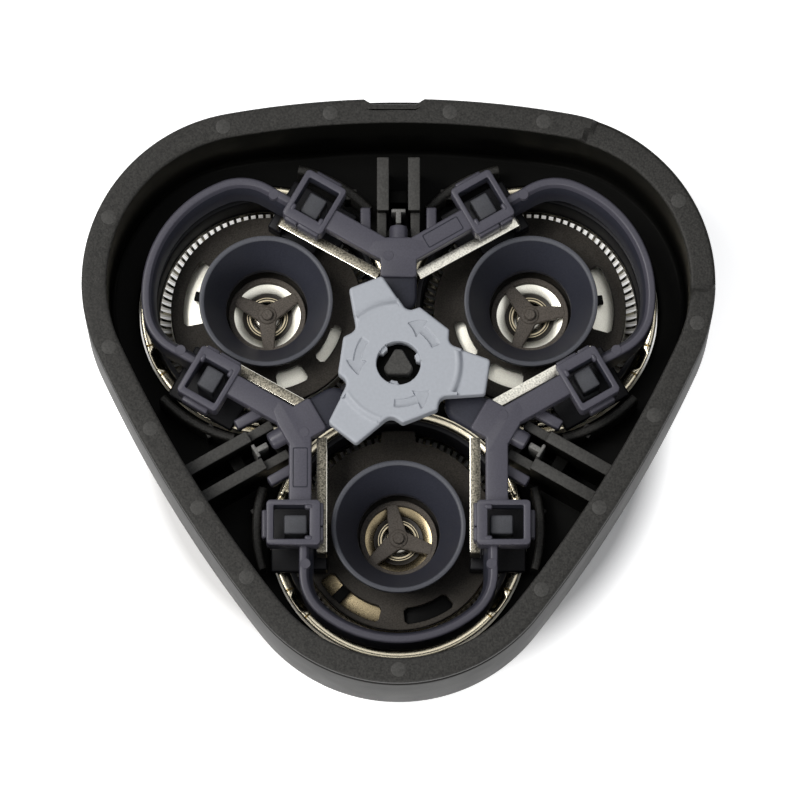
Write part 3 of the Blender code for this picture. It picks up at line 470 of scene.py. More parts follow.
holder_plastic = moulded_plastic("holder_plastic", (0.0215, 0.0208, 0.019), roughness=0.5, relief=0.045,
                                 mottle=0.6, sheen=0.2)
# The polish is also painted shade: near-black for the cavity's walls, floor, post, ribs' sides and the gap
# under the rim
holder_polish_and_shade = moulded_plastic("holder_polish_and_shade", (0.004, 0.004, 0.0035), roughness=0.35, relief=0.003,
                                sheen=0.04)
holder_mark = moulded_plastic("holder_mark", (0.055, 0.054, 0.051), roughness=0.5, mottle=0.25)
# A light grey painted highlight for the T-shaped blocks between the ribs
holder_highlight = moulded_plastic("holder_highlight", (0.16, 0.158, 0.15), roughness=0.45, grain=0.15, relief=0.008,
                              mottle=0.35, sheen=0.2)
holder = piece("holder_shell", holder_parts, holder_plastic, holder_polish_and_shade, holder_mark, holder_highlight)
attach(holder, "root")
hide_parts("holder")

# Guards
# Each guard is a pressed and polished steel cap. Fine radial slots run through its track and up its
# edge, a groove parts the middle from the track, and a pin inside holds the cutter in place.
slot_count, slot_width, edge_slot_width = 90, 0.26, 0.48
slot_inner, slot_outer, slot_top = 7.7, 11.6, 1.9
widens_from, widens_to = 9.2, 10.4


def on_each_head(name, parts, body, slot, *materials, turns=None):
    """One piece for each head from parts drawn about the z axis with +Y outwards, or turned by given
    angles. Where the heads differ, parts holds a list for each."""
    for head in corner_names:
        turn = turns[head] if turns else outward[head] - 90
        own = parts[head] if isinstance(parts, dict) else parts
        placed = [moved(part, turn, heads[head]) for part in own]
        made = piece(f"{name}_{head}_shell", placed, *materials)
        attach(made, f"{body}_{head}")
        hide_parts(f"{name}_{head}")


def slotted_cap(outer, inner, cut_from, cut_to):
    """A sheet between an outer and an inner (radius, height) profile, turned about z, with slot_count
    even slots between two stations. A bar's edge lies width / 2r short of the slot's middle."""
    outer, inner = np.array(outer), np.array(inner)
    pitch = 2 * np.pi / slot_count
    middle = np.arange(slot_count) * pitch
    stations = len(outer)

    def columns(profile):
        widened = smooth_step(profile[:, 0], widens_from, widens_to)
        width = slot_width + (edge_slot_width - slot_width) * widened
        gap = np.where(profile[:, 0] > slot_inner - 0.2, width / 2 / profile[:, 0], pitch / 4)
        angle = middle[:, None, None] + np.array([-1, 1])[:, None] * (pitch / 2 - gap)
        angle = angle.reshape(-1, stations).T
        radius, height = profile[:, :1], profile[:, 1:]
        return np.stack([radius * np.cos(angle), radius * np.sin(angle), height + 0 * angle], axis=-1)

    points = np.concatenate([columns(outer).reshape(-1, 3), columns(inner).reshape(-1, 3)])
    count = 2 * slot_count
    shift = stations * count
    faces = []
    for station in range(stations - 1):
        row, above = station * count, (station + 1) * count
        in_slot = cut_from <= station < cut_to
        for a in range(count):
            b = (a + 1) % count
            if not (in_slot and a % 2):
                faces.append([row + a, row + b, above + b, above + a])
                faces.append([shift + row + a, shift + above + a, shift + above + b, shift + row + b])
            if in_slot:
                faces.append([row + a, above + a, shift + above + a, shift + row + a])
    # Slot ends, the edge at the last station, and the flat faces in the middle
    joined = [(station, a) for a in range(1, count, 2) for station in (cut_from, cut_to)]
    for station, a in joined + [(stations - 1, a) for a in range(count)]:
        row, b = station * count, (a + 1) % count
        faces.append([row + a, row + b, shift + row + b, shift + row + a])
    return points, faces + [list(range(count)), list(range(shift, shift + count))]


def polished_steel(name, colour, roughness=0.3, grain=0.1, relief=0.0015, speckle=0.15):
    """Steel with a fine surface grain and a gloss that varies with it. grain and relief are in
    millimetres."""
    material, nodes, links, shader, fine = grained(name, colour, speckle, 0.15, grain, relief)
    shader.inputs["Metallic"].default_value = 1.0
    remapped(nodes, links, fine, shader.inputs["Roughness"],
             To_Min=0.75 * roughness, To_Max=1.25 * roughness)
    return material


skin = [(1.0, 0.12), (1.3, 0.12), (1.6, 0.12), (4.5, 0.12), (4.8, 0.0), (5.3, 0.0), (5.5, 0.22),
        (5.9, 0.22), (6.1, 0.0), (7.4, 0.0), (slot_inner, 0.0), (9.3, 0.0), (10.9, 0.0), (11.35, 0.08),
        (11.55, 0.25), (slot_outer, 0.45), (slot_outer, slot_top), (slot_outer, 2.1), (11.68, 2.2),
        (12.0, 2.2), (12.08, 2.28)]
inside = [(1.15, 2.28), (1.38, 2.1), (1.4, 0.6), (4.4, 0.52), (4.8, 0.42), (5.2, 0.42), (5.5, 0.6),
          (5.9, 0.6), (6.3, 0.42), (7.4, 0.4), (slot_inner, 0.4), (9.3, 0.4), (9.9, 0.42), (10.3, 0.6),
          (10.75, 0.95), (11.1, 1.4), (11.35, slot_top), (11.35, 2.45), (11.45, 2.58), (12.0, 2.58),
          (12.08, 2.5)]
guard_steel = polished_steel("guard_steel_look", (0.46, 0.44, 0.39), roughness=0.24, grain=0.12,
                             relief=0.001, speckle=0.14)
cut_from, cut_to = skin.index((slot_inner, 0.0)), skin.index((slot_outer, slot_top))
on_each_head("guard", [slotted_cap(skin, inside, cut_from, cut_to)], "head", "guard_steel", guard_steel)

# Trim rings
# The outer ring of each head is champagne coloured steel with an inward lip under the guard's
# flange. Its flared rim is narrower at two clips, and two tabs with claws stand up from it.
flare = 13.3
trim_profile = [(13.25, 6.42), (flare, 6.3), (13.27, 6.15), (13.14, 5.8), (13.1, 5.6), (13.1, 2.2),
                (13.02, 1.7), (12.85, 1.32), (12.6, 1.1), (12.3, 1.02), (11.85, 1.02), (11.7, 1.1),
                (11.65, 1.25), (11.65, 1.75), (11.72, 1.85), (12.25, 1.87), (12.38, 1.95), (12.4, 2.1),
                (12.4, 5.6), (12.25, 5.9), (12.25, 6.15), (12.35, 6.26), (12.5, 6.34), (12.7, 6.41),
                (12.9, 6.46), (13.08, 6.48)]
clip_directions = np.array([145.0, 35.0])


def waisted(part):
    """The ring with its rim narrower at each clip: a point moves out by 0.6 of its way to the flare,
    and by less from 3.5 to 6.5 degrees beside the clip. A seam 0.35 deep lies at 7.5 degrees."""
    points, faces = part
    radius = np.hypot(points[:, 0], points[:, 1])
    away = np.abs(turn_between(bearing(points)[:, None], clip_directions)).min(axis=1)
    on_rim = smooth_step(points[:, 2], 5.4, 5.8)
    share = 0.6 * on_rim * (1 - smooth_step(away, 3.5, 6.5))
    seam = 0.35 * on_rim * (np.abs(away - 7.5) < 0.3)
    points[:, :2] *= (1 + share * (flare - radius) / radius)[:, None]
    points[:, 2] -= seam
    return points, faces


tab = rounded_box((-1.1, 12.55, 6.2), (1.1, 12.95, 8.3), 0.15)
claw = rounded_box((-0.6, 12.15, 7.5), (0.6, 12.7, 8.0), 0.12)
trim_steps = 720
trim_parts = [waisted(revolved(trim_profile, trim_steps))]
trim_parts += [moved(part, angle) for angle in (112, -112) for part in (tab, claw)]
warm_steel = polished_steel("warm_steel_look", (0.80, 0.73, 0.56), roughness=0.24, grain=0.3,
                            relief=0.0008, speckle=0.06)
on_each_head("trim_ring", trim_parts, "head", "warm_steel", warm_steel)

# Head carriers
# A black moulded ring holds each head together: pads under the plate, and a foot at each side with
# the lug that stands up in the frame's socket and the step that the leaf spring presses on.
carrier_profile = [(12.05, 7.2), (12.1, 7.1), (12.1, 3.0), (12.0, 2.9), (11.45, 2.9), (11.38, 2.98),
                   (11.38, 3.2), (11.45, 3.3), (11.5, 3.5), (11.5, 6.9), (11.6, 7.15), (11.7, 7.2)]
carrier_parts = [revolved(carrier_profile, 144)]
tab_angles = np.array([0.0, 180.0, 270.0])
pad = rounded_box((10.3, -1.8, 3.4), (11.8, 1.8, 4.4), 0.15)
carrier_parts += [moved(pad, angle) for angle in tab_angles]
# Opposite corners of the foot, its step, its lip and, painted lighter, the lug
foot_blocks = [((7.4, -1.4, 6.0), (11.4, 4.2, 7.2), 0), ((7.4, 2.6, 6.9), (9.45, 4.2, 8.4), 0),
               ((8.6, -3.4, 6.8), (13.3, 4.3, 7.6), 0), ((9.45, -0.6, 6.2), (11.85, 1.4, 13.6), 1)]
carrier_parts += both_sides([(*rounded_box(low, high, 0.2), paint) for low, high, paint in foot_blocks])
carrier_plastic = moulded_plastic("carrier_look", (0.012, 0.012, 0.014), grain=0.15, relief=0.006, mottle=0.2)
carrier_lug = moulded_plastic("carrier_lug", (0.075, 0.077, 0.086), roughness=0.45, grain=0.15, mottle=0.12,
                              sheen=0.15)
on_each_head("head_carrier", carrier_parts, "head", "carrier_plastic", carrier_plastic, carrier_lug)

# Head plates
# A brown-black plate lies over each cutter. Long curved slots show the steel below; one of them is
# crossed by a sunken bridge painted near-black as shade, and small discs are the marks of the moulding
# pins.


def slab(loops, low, high, edge, steps=3):
    """A flat outline, with holes, between two heights. Its edges are quarter circles: at the angle t
    the wall is inset by edge * (1 - sin t) at the height low + edge * (1 - cos t)."""
    turn = np.radians(np.linspace(0, 90, steps + 1))
    inset = np.concatenate([edge * (1 - np.sin(turn)), edge * (1 - np.sin(turn[::-1]))])
    height = np.concatenate([low + edge * (1 - np.cos(turn)), high - edge * (1 - np.cos(turn[::-1]))])
    points, faces, caps, start = [], [], [], 0
    for index, loop in enumerate(loops):
        loop = np.asarray(loop)
        ahead = np.roll(loop, -1, axis=0) - loop
        ahead = ahead / np.linalg.norm(ahead, axis=1, keepdims=True)
        normal = np.stack([ahead[:, 1], -ahead[:, 0]], axis=1)
        joint = normal + np.roll(normal, 1, axis=0)
        joint = joint / np.maximum(0.5 * (joint ** 2).sum(axis=1, keepdims=True), 0.5)
        area = np.sum(loop[:, 0] * np.roll(loop[:, 1], -1) - loop[:, 1] * np.roll(loop[:, 0], -1))
        out = joint * (1 if (area > 0) == (index == 0) else -1)
        rings = np.concatenate([loop - inset[:, None, None] * out,
                                np.broadcast_to(height[:, None, None], (len(inset), len(loop), 1))], axis=-1)
        ring_points, ring_faces = grid(rings, wrap_rows=False)
        points.append(ring_points)
        faces += [[start + i for i in face] for face in ring_faces]
        caps.append((rings[0, :, :2], start, start + (len(inset) - 1) * len(loop)))
        start += len(ring_points)
    numbers = [np.concatenate([np.arange(len(flat)) + begin[i] for flat, *begin in caps]) for i in (0, 1)]
    for triangle in tessellate_polygon([[(x, y, 0.0) for x, y in flat] for flat, *_ in caps]):
        faces += [[int(numbers[0][i]) for i in triangle], [int(numbers[1][i]) for i in triangle]]
    return np.concatenate(points), faces


def arc_slot(inner, outer, start, end, corner):
    """A slot between two radii and two angles in degrees, whose ends have rounded corners."""
    steps = max(6, int(abs(end - start) / 3))
    first, last = np.degrees(corner / inner), np.degrees(corner / outer)
    return np.concatenate([
        arc((0, 0), inner, end - first, start + first, steps),
        [polar(inner + corner, start), polar(outer - corner, start)],
        arc((0, 0), outer, start + last, end - last, steps),
        [polar(outer - corner, end), polar(inner + corner, end)]])


plate_turn = np.linspace(0, 360, 480, endpoint=False)
from_tab = np.abs(turn_between(plate_turn[:, None], tab_angles)).min(axis=1)
plate_edge = polar(11.15 - 1.05 * smooth_step(from_tab, 9.2, 10.2), plate_turn).T
# Slots of each plate: first and last direction, inner and outer radius
plate_slots = {"front": ((30, 77, 7.8, 9.5), (94, 128, 7.8, 9.5)),
               "right": ((44, 95, 6.6, 8.8), (248, 279, 6.9, 8.15), (294, 324, 6.6, 8.5)),
               "left": ((81, 131, 6.6, 8.8), (218, 242, 6.6, 8.5), (256, 288, 6.9, 8.15))}
# Where a slot is bridged: direction, inner and outer radius, half width
plate_bridges = {"front": (46, 7.5, 9.8, 0.55), "right": (70, 6.3, 7.8, 0.5), "left": (107, 6.3, 7.8, 0.5)}
# Directions of the moulding pins' marks
mark_angles = {"front": (140, 160, 215, 318), "right": (112, 130, 200, 240), "left": (48, 66, 148, 300)}
plate_low, plate_high, bore_radius, mark_reach = 4.7, 5.7, 5.25, 8.7
pin_mark = revolved([(0.001, 5.6), (0.001, 5.72), (0.5, 5.72), (0.55, 5.6)], 24)
plate_parts = {}
for head, slots in plate_slots.items():
    holes = [arc((0, 0), bore_radius, 0, 357.5, 142)]
    holes += [arc_slot(near, far, start, end, 0.32) for start, end, near, far in slots]
    direction, near, far, half = plate_bridges[head]
    bridge = rounded_box((near, -half, 4.72), (far, half, 5.3), 0.12)
    plate_parts[head] = [slab([plate_edge, *holes], plate_low, plate_high, 0.12),
                         (*moved(bridge, direction), 1)]
    # The front plate's second slot has a floor, painted near-black as the shade in its recess
    if head == "front":
        closed = arc_slot(7.7, 9.6, 93, 129, 0.5)
        plate_parts[head].append((*slab([closed], 4.35, 4.8, 0.1), 1))
    for angle in mark_angles[head]:
        plate_parts[head].append(moved(pin_mark, place=(*polar(mark_reach, angle), 0)))
plate_plastic = moulded_plastic("plate_look", (0.054, 0.048, 0.041), roughness=0.5, grain=0.14, relief=0.012,
                                mottle=0.3)
# Near-black painted shade for the sunken bridges and the recessed floor
plate_shade_black = moulded_plastic("plate_shade_black", (0.004, 0.004, 0.004), grain=0.12, sheen=0.05)
on_each_head("head_plate", plate_parts, "head", "plate_plastic", plate_plastic, plate_shade_black)

# Drive funnels
# A navy cup with a smooth cone guides the shaver's spindle down to the coupling. Its round rim is
# painted lighter as painted light, and a short spigot below the throat sits in the plate.
funnel_rim = [(6.46, 10.42), (6.5, 10.53), (6.6, 10.6), (6.9, 10.6), (6.97, 10.56), (7.0, 10.46)]
funnel_body = [(7.0, 10.05), (6.95, 9.95), (6.72, 9.85), (6.6, 9.6), (6.0, 6.2), (5.95, 6.05), (5.8, 6.0),
               (4.95, 6.0), (4.9, 5.95), (4.9, 5.1), (4.8, 5.0), (4.42, 5.0), (4.32, 5.08), (4.3, 5.2),
               (4.3, 6.0), (4.33, 6.15), (4.45, 6.35)]
funnel_steps = 144
points, faces = revolved(funnel_rim + funnel_body, funnel_steps)
# The rim's faces take a lighter copy of the plastic, a painted highlight
on_rim = np.arange(len(faces)) < funnel_steps * len(funnel_rim)
funnel_plastic = moulded_plastic("funnel_look", (0.034, 0.036, 0.049), roughness=0.36, relief=0.003)
funnel_lit_rim = moulded_plastic("funnel_lit_rim", (0.085, 0.088, 0.102), relief=0.003, sheen=0.2)
on_each_head("drive_funnel", [(points, faces, on_rim * 1)], "head", "funnel_plastic", funnel_plastic,
             funnel_lit_rim)

# Cutters
# A turned steel disc with two grooves and a cone round its bore, and a raised track outside. Leaning
# blades stand under the track and run in the guard. The front one's steel is painted a darker gold as
# shade.
cutter_rest = {"front": 101.0, "right": 127.0, "left": 153.0}
groove = []
for ring in range(2):
    radius = 1.85 + 0.22 * ring
    groove += [(radius, 2.5), (radius + 0.08, 2.5), (radius + 0.12, 2.3), (radius + 0.2, 2.3)]
cutter_profile = np.array([
    (10.2, 2.42), (10.2, 2.08), (10.12, 2.0), (1.78, 2.0), (1.7, 2.08), (1.7, 2.42), (1.78, 2.5), *groove,
    (2.4, 2.38), (2.6, 2.4), (2.68, 2.5), (3.55, 2.74), (3.6, 2.5), (6.1, 2.5), (6.2, 4.0), (6.35, 4.15),
    (10.0, 4.15), (10.12, 4.05), (10.2, 2.6)])
# The middle of each band of faces tells its finish: browned in the grooves and between cone and track
cutter_steps = 144
middle = (cutter_profile + np.roll(cutter_profile, -1, axis=0)) / 2
radius, height = np.repeat(middle, cutter_steps, axis=0).T
top_side = np.repeat(cutter_profile[:, 1] > 2.25, cutter_steps)
on_hub = top_side & (radius < 2.64)
browned = top_side & (radius > 3.57) & (radius < 6.15) | on_hub & (height < 2.45)
turned = (*revolved(cutter_profile, cutter_steps), np.where(browned, 1, on_hub * 2))
blade_lean, blade_count = 0.36, 15
points, faces = rounded_box((8.2, -0.25, 0.72), (9.9, 0.25, 2.2), 0.08)
points[:, 1] += blade_lean * (points[:, 2] - 2.0)
blades = [moved((points, faces), 360 / blade_count * index) for index in range(blade_count)]
cutter_parts = {head: [turned, *blades] for head in corner_names}
# The front cutter's steel faces take a darker gold, a painted shade
cutter_parts["front"] = [(*turned[:2], np.where(turned[2] == 0, 3, turned[2])), *blades]
cutter_steel = polished_steel("cutter_steel_look", (0.95, 0.92, 0.82), roughness=0.42, speckle=0.08)
cutter_brown = moulded_plastic("cutter_brown", (0.03, 0.026, 0.021), grain=0.15, mottle=0.2, sheen=0.2)
cutter_hub = polished_steel("cutter_hub_look", (0.46, 0.40, 0.28))
cutter_gold_shade = polished_steel("cutter_gold_shade_look", (0.27, 0.22, 0.135), roughness=0.28)
on_each_head("cutter", cutter_parts, "cutter", "guard_steel", cutter_steel, cutter_brown, cutter_hub,
             cutter_gold_shade, turns=cutter_rest)

# Couplings
# A brown-grey three-armed spider in a ring. Its arms widen into the hub, on which a small round
# boss stands.
arm_corners = []
for angle in (0, 120, 240):
    end, across = polar(3.75, angle), polar(0.55, angle + 90)
    arm_corners += [end - across, end + across, polar(1.08, angle + 60)]
spider = filleted(arm_corners, [0.1, 0.1, 0.35] * 3, 6)
coupling_ring = [(4.02, 3.6), (4.1, 3.5), (4.1, 2.9), (4.02, 2.8), (3.6, 2.8), (3.5, 2.9), (3.5, 3.5),
                 (3.6, 3.6)]
boss = [(0.001, 4.1), (0.5, 4.1), (0.6, 4.0), (0.62, 3.76), (0.85, 3.75), (0.95, 3.7), (1.0, 3.6),
        (1.0, 3.3), (0.001, 3.3)]
coupling_parts = [revolved(coupling_ring), slab([spider], 2.82, 3.62, 0.12), revolved(boss, 48)]
coupling_plastic = moulded_plastic("coupling_look", (0.115, 0.10, 0.085), roughness=0.5, grain=0.14,
                                   relief=0.015, mottle=0.35, sheen=0.15)
on_each_head("cutter_coupling", coupling_parts, "cutter", "coupling_plastic", coupling_plastic,
             turns=cutter_rest)

# Leaf springs
# Six strips cut from speckled spring steel. Each lies under the frame's arm and falls towards its
# outer end, which is bent down onto the carrier's step.
spring_top, spring_fall, spring_tip = 12.4, 0.9, 9.05
spring_start, spring_end, strip_thickness = 7.0, 19.1, 0.3
spring_near, spring_far = 7.41, 8.51
spring_bend = 0.5
bend_centre = (spring_end - spring_bend, spring_top - spring_fall - spring_bend)
spring_side = np.concatenate([
    [(spring_start, spring_top)], arc(bend_centre, spring_bend, 86, 0, 5),
    [(spring_end, spring_tip), (spring_end - strip_thickness, spring_tip)],
    arc(bend_centre, spring_bend - strip_thickness, 0, 86, 5),
    [(spring_start, spring_top - strip_thickness)]])
strip_edge, edge_steps = 0.06, 2
spring_steel = polished_steel("spring_steel_look", (0.14, 0.13, 0.105), roughness=0.42, grain=0.17,
                              relief=0.008, speckle=0.7)
spring_painted_reflection = polished_steel("spring_painted_reflection_look", (0.72, 0.70, 0.62), grain=0.17, relief=0.004,
                               speckle=0.25)
spring_highlighted_edge = polished_steel("spring_highlighted_edge_look", (0.92, 0.89, 0.80), roughness=0.22, grain=0.16,
                                relief=0.002, speckle=0.1)
for head in corner_names:
    for letter, side in (("a", 1), ("b", -1)):
        low, high = sorted((side * spring_near, side * spring_far))
        points, faces = slab([spring_side], low, high, strip_edge, edge_steps)
        row = np.arange(len(faces)) // len(spring_side)
        # The strip's rounded edges are painted bright, a painted highlight along them
        highlighted_edge = (row < 2 * edge_steps + 1) & (row != edge_steps)
        strip = moved((points[:, [2, 0, 1]], faces), outward[head] - 90, lock_axis)
        # The right head's strips take a brighter copy of the steel, a painted reflection
        rolled = spring_painted_reflection if head == "right" else spring_steel
        spring = piece(f"leaf_spring_{head}_{letter}_shell", [(*strip, highlighted_edge * 1)], rolled, spring_highlighted_edge)
        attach(spring, "root")
        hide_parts(f"leaf_spring_{head}_{letter}")

# Retaining frame
# One blue-violet moulding traps the heads: arms with soft edges run beside them, sockets take the
# carriers' lugs, loops go round the outside, and tongues reach under the lock.
frame_top, arm_low = 14.6, 12.7


def rectangle(x, y, radius, steps=5):
    """A rectangle's outline between two x and two y, with rounded corners."""
    return filleted([(x[0], y[0]), (x[1], y[0]), (x[1], y[1]), (x[0], y[1])], [radius] * 4, steps)


# An arm and a socket whose window is painted darker as shade
arm = slab([rectangle((9.0, 11.35), (6.2, 14.4), 0.3, 3)], arm_low, frame_top, 0.2, 4)
socket_outer = rectangle((8.06, 13.66), (14.025, 18.775), 0.45)
socket_window = rectangle((9.2, 12.9), (14.6, 18.15), 0.15)
points, faces = slab([socket_outer, socket_window], 12.4, 14.9, 0.14)
# The faces are the outer wall's bands and then the window's, of which all but the top two are painted dark as
# shade
in_window = np.zeros(len(faces), dtype=int)
wall_bands = 7
window_start = wall_bands * len(socket_outer)
in_window[window_start:window_start + (wall_bands - 2) * len(socket_window)] = 1
lip = rounded_box((13.5, 14.9, 12.4), (14.15, 17.9, 13.9), 0.2)
sector = both_sides([arm, (points, faces, in_window), lip])


def carried(path, section):
    """A closed (across, height) section carried along an open path, with flat ends. A point lies at
    the path's point plus across times the direction to the path's right."""
    ahead = np.gradient(path, axis=0)
    ahead = ahead / np.linalg.norm(ahead, axis=1, keepdims=True)
    right = np.stack([ahead[:, 1], -ahead[:, 0]], axis=1)
    flat = path[:, None] + section[None, :, :1] * right[:, None]
    height = np.broadcast_to(section[None, :, 1:], (len(path), len(section), 1))
    return capped(np.concatenate([flat, height], axis=-1))


# The loop round the head: straight beside it, two bends and an arc, with its walls below the ridge painted
# darker as shade
loop_offset, loop_reach, bend_radius, head_reach = 9.55, 12.2, 5.0, 16.0
bend_middle = np.array([loop_offset - bend_radius, 0.0])
bend_middle[1] = np.sqrt((loop_reach - bend_radius) ** 2 - bend_middle[0] ** 2)
meeting = bearing(bend_middle)
half_loop = np.concatenate([[(loop_offset, 2.4), (loop_offset, 3.5), (loop_offset, 4.6)],
                            arc(bend_middle, bend_radius, 0, meeting, 14),
                            arc((0, 0), loop_reach, meeting, 90, 16)[1:-1]])
loop_line = np.concatenate([half_loop, [(0, loop_reach)], half_loop[::-1] * (-1, 1)]) + (0, head_reach)
loop_section = np.concatenate([arc((0.475, 13.75), 0.25, 0, 90, 4), arc((0.12, 13.75), 0.25, 90, 140, 3),
                               [(-0.3, 13.35), (-0.52, 12.9), (-0.66, 12.2), (-0.725, 11.2), (-0.75, 9.6),
                                (-0.65, 9.5), (0.62, 9.5), (0.725, 9.6)]])
points, faces = carried(loop_line, loop_section)
ridge_points = 9
along_section = np.arange(len(faces)) % len(loop_section)
below_ridge = (along_section >= ridge_points) & (np.arange(len(faces)) < len(faces) - 2)
sector.append((points, faces, below_ridge * 1))

# Guide blocks on the sockets, and a moulding pin's mark outside them
blocks = [rounded_box(low, high, radius) for low, high, radius in (
    ((7.75, 14.3, 12.45), (8.9, 16.75, 14.6), 0.18), ((7.75, 16.83, 12.45), (8.9, 18.3, 14.6), 0.18),
    ((8.85, 14.5, 14.0), (9.7, 15.0, 15.0), 0.22), ((8.85, 17.8, 14.0), (9.7, 18.3, 15.0), 0.22))]
mark = revolved([(0.001, 13.2), (0.001, 14.03), (0.52, 14.03), (0.56, 13.98), (0.56, 13.2)], 32)
sector += both_sides([*blocks, moved(mark, place=(9.62, 20.6, 0))])

# Between two arms: a junction, a tongue under the lock, a pin with two feet between the ribs, a mark
junction = filleted([(-1.9, 9.6), (1.9, 9.6), (1.9, 11.6), (3.3, 12.4), (2.6, 13.6), (1.1, 13.9),
                     (-1.1, 13.9), (-2.6, 13.6), (-3.3, 12.4), (-1.9, 11.6)], [0.35] * 10, 3)
tongue = np.concatenate([arc((0, 7.7), 1.9, 180, 360, 16), arc((0, 12.0), 1.9, 0, 180, 16)])
pin_line = [(0.001, 15.4), (0.6, 15.4), (0.86, 15.3), (0.96, 15.0), (0.98, 13.7), (1.15, 12.9),
            (1.15, 12.6), (0.001, 12.6)]
points, faces = revolved(pin_line, 32)
pin = (np.stack([points[:, 0], points[:, 2], points[:, 1] + 13.2], axis=1), faces)
mark = revolved([(0.001, 14.5), (0.001, 14.65), (0.5, 14.65), (0.55, 14.6), (0.55, 14.5)], 32)
# The tongue is painted darker as shade
joint_parts = [slab([junction], arm_low, frame_top + 0.01, 0.2, 4),
               (*slab([tongue], arm_low + 0.02, frame_top - 0.45, 0.6, 5), 1), pin,
               *both_sides([rounded_box((2.9, 13.8, 11.5), (4.0, 17.5, 12.9), 0.2)]),
               moved(mark, place=(-1.05, 11.9, 0))]

# Bare panels on two arms, each with its place across and out from the lock
panel = rectangle((-0.78, 0.78), (-2.1, 2.1), 0.15, 2)
# The panel's rim is painted darker as shade, a dark outline
panel_rim = (*slab([panel, panel * (0.88, 0.955)], 14.5, 14.66, 0.02, 1), 1)
panels = {"front": (10.17, 10.6), "right": (-10.17, 11.2)}
frame_parts = []
for head in corner_names:
    for angle, parts in ((outward[head] - 90, sector), (outward[head] - 30, joint_parts)):
        frame_parts += [moved(part, angle, lock_axis) for part in parts]
for head, (across, reach) in panels.items():
    frame_parts.append(moved(moved(panel_rim, place=(across, reach, 0)), outward[head] - 90, lock_axis))
frame_plastic = moulded_plastic("frame_look", (0.064, 0.062, 0.079), roughness=0.36, grain=0.18, relief=0.005,
                                sheen=0.28)
# Painted shade for the tongues, the socket windows, the loops' lower walls and the panels' rims
frame_shade = moulded_plastic("frame_shade", (0.026, 0.027, 0.037), grain=0.18, mottle=0.12, sheen=0.15)
retaining = piece("retaining_frame_shell", frame_parts, frame_plastic, frame_shade)
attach(retaining, "root")
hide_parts("retaining_frame")

# Lock
# The light grey lock is a star of three arms and three lobes. Its arms step down to their ends,
# three arrows are sunk into its face, and three tabs reach into its hole over the post.
lock_bottom, lock_top = heights("lock")
arm_angle, hole_angle = 111.5, 17.0
arm_reach, arm_half, neck_reach, lobe_reach = 9.35, 1.85, 5.55, 6.35
star = []
for arm in (arm_angle, arm_angle + 120, arm_angle + 240):
    end, across = polar(arm_reach, arm), polar(arm_half, arm + 90)
    star += [polar(neck_reach, arm - 31), end - across, end + across,
             polar(neck_reach, arm + 30), polar(lobe_reach, arm + 42.5), polar(lobe_reach, arm + 78)]


def resampled(outline, step):
    """A closed outline with points at even distances of about step along it."""
    closed = np.concatenate([outline, outline[:1]])
    lengths = np.concatenate([[0], np.cumsum(np.linalg.norm(np.diff(closed, axis=0), axis=1))])
    places = np.linspace(0, lengths[-1], int(lengths[-1] / step), endpoint=False)
    return np.stack([np.interp(places, lengths, closed[:, i]) for i in (0, 1)], axis=1)


star_line = resampled(filleted(star, [0.9, 0.4, 0.4, 0.9, 0.35, 0.35] * 3, 6), 0.11)
star_angle = bearing(star_line)
from_tab = turn_between(star_angle, hole_angle, 120)
post_hole, tab_reach = 2.3, 0.45
hole_line = post_hole - tab_reach * (1 - smooth_step(np.abs(from_tab), 9, 15))
arrow_start, shaft_length, arrow_length = 24.0, 32.0, 53.0
arrow_radius, shaft_half, point_half = 4.25, 0.42, 1.08


def arrow_depth(radius, angle):
    """1 inside the three curved arrows and 0 outside. From its start, an arrow is a band of even width
    up to shaft_length degrees, and then a point whose half width falls to 0 at arrow_length."""
    on = (angle - arrow_start) % 120
    shaft = smooth_step(shaft_half - np.abs(radius - arrow_radius), -0.05, 0.05)
    shaft = shaft * smooth_step(on, 0.0, 1.2) * (1 - smooth_step(on, shaft_length, shaft_length + 1.0))
    half = point_half * (arrow_length - on) / (arrow_length - shaft_length)
    point = smooth_step(half - np.abs(radius - arrow_radius - 0.1), -0.05, 0.05)
    point = point * smooth_step(on, shaft_length - 0.4, shaft_length + 0.8) * (on < arrow_length)
    return np.maximum(shaft, point)


arm_drop, tab_drop, ridge_height, arrow_sunk, ridge_room = 0.45, 0.4, 0.055, 0.2, 0.06


def lock_face(radius, angle):
    """Height of the lock's top: the arms' ends lie lower behind a ridge and a ramp, so do the hole's
    tabs, and the arrows are sunk in."""
    from_arm = turn_between(angle, arm_angle, 120)
    on_arm = np.abs(radius * np.sin(np.radians(from_arm))) < 2.2
    ramp = smooth_step(radius, 6.25, 6.75) * on_arm
    ridge = np.exp(-((radius - 6.1) / 0.15) ** 2) * on_arm
    tab = 1 - smooth_step(radius, 2.2, 2.34)
    depth = arm_drop * ramp - ridge_height * ridge + arrow_sunk * arrow_depth(radius, angle)
    return lock_top - ridge_room - depth - tab_drop * tab


ahead = np.roll(star_line, -1, axis=0) - np.roll(star_line, 1, axis=0)
star_normal = np.stack([ahead[:, 1], -ahead[:, 0]], axis=1) / np.linalg.norm(ahead, axis=1, keepdims=True)
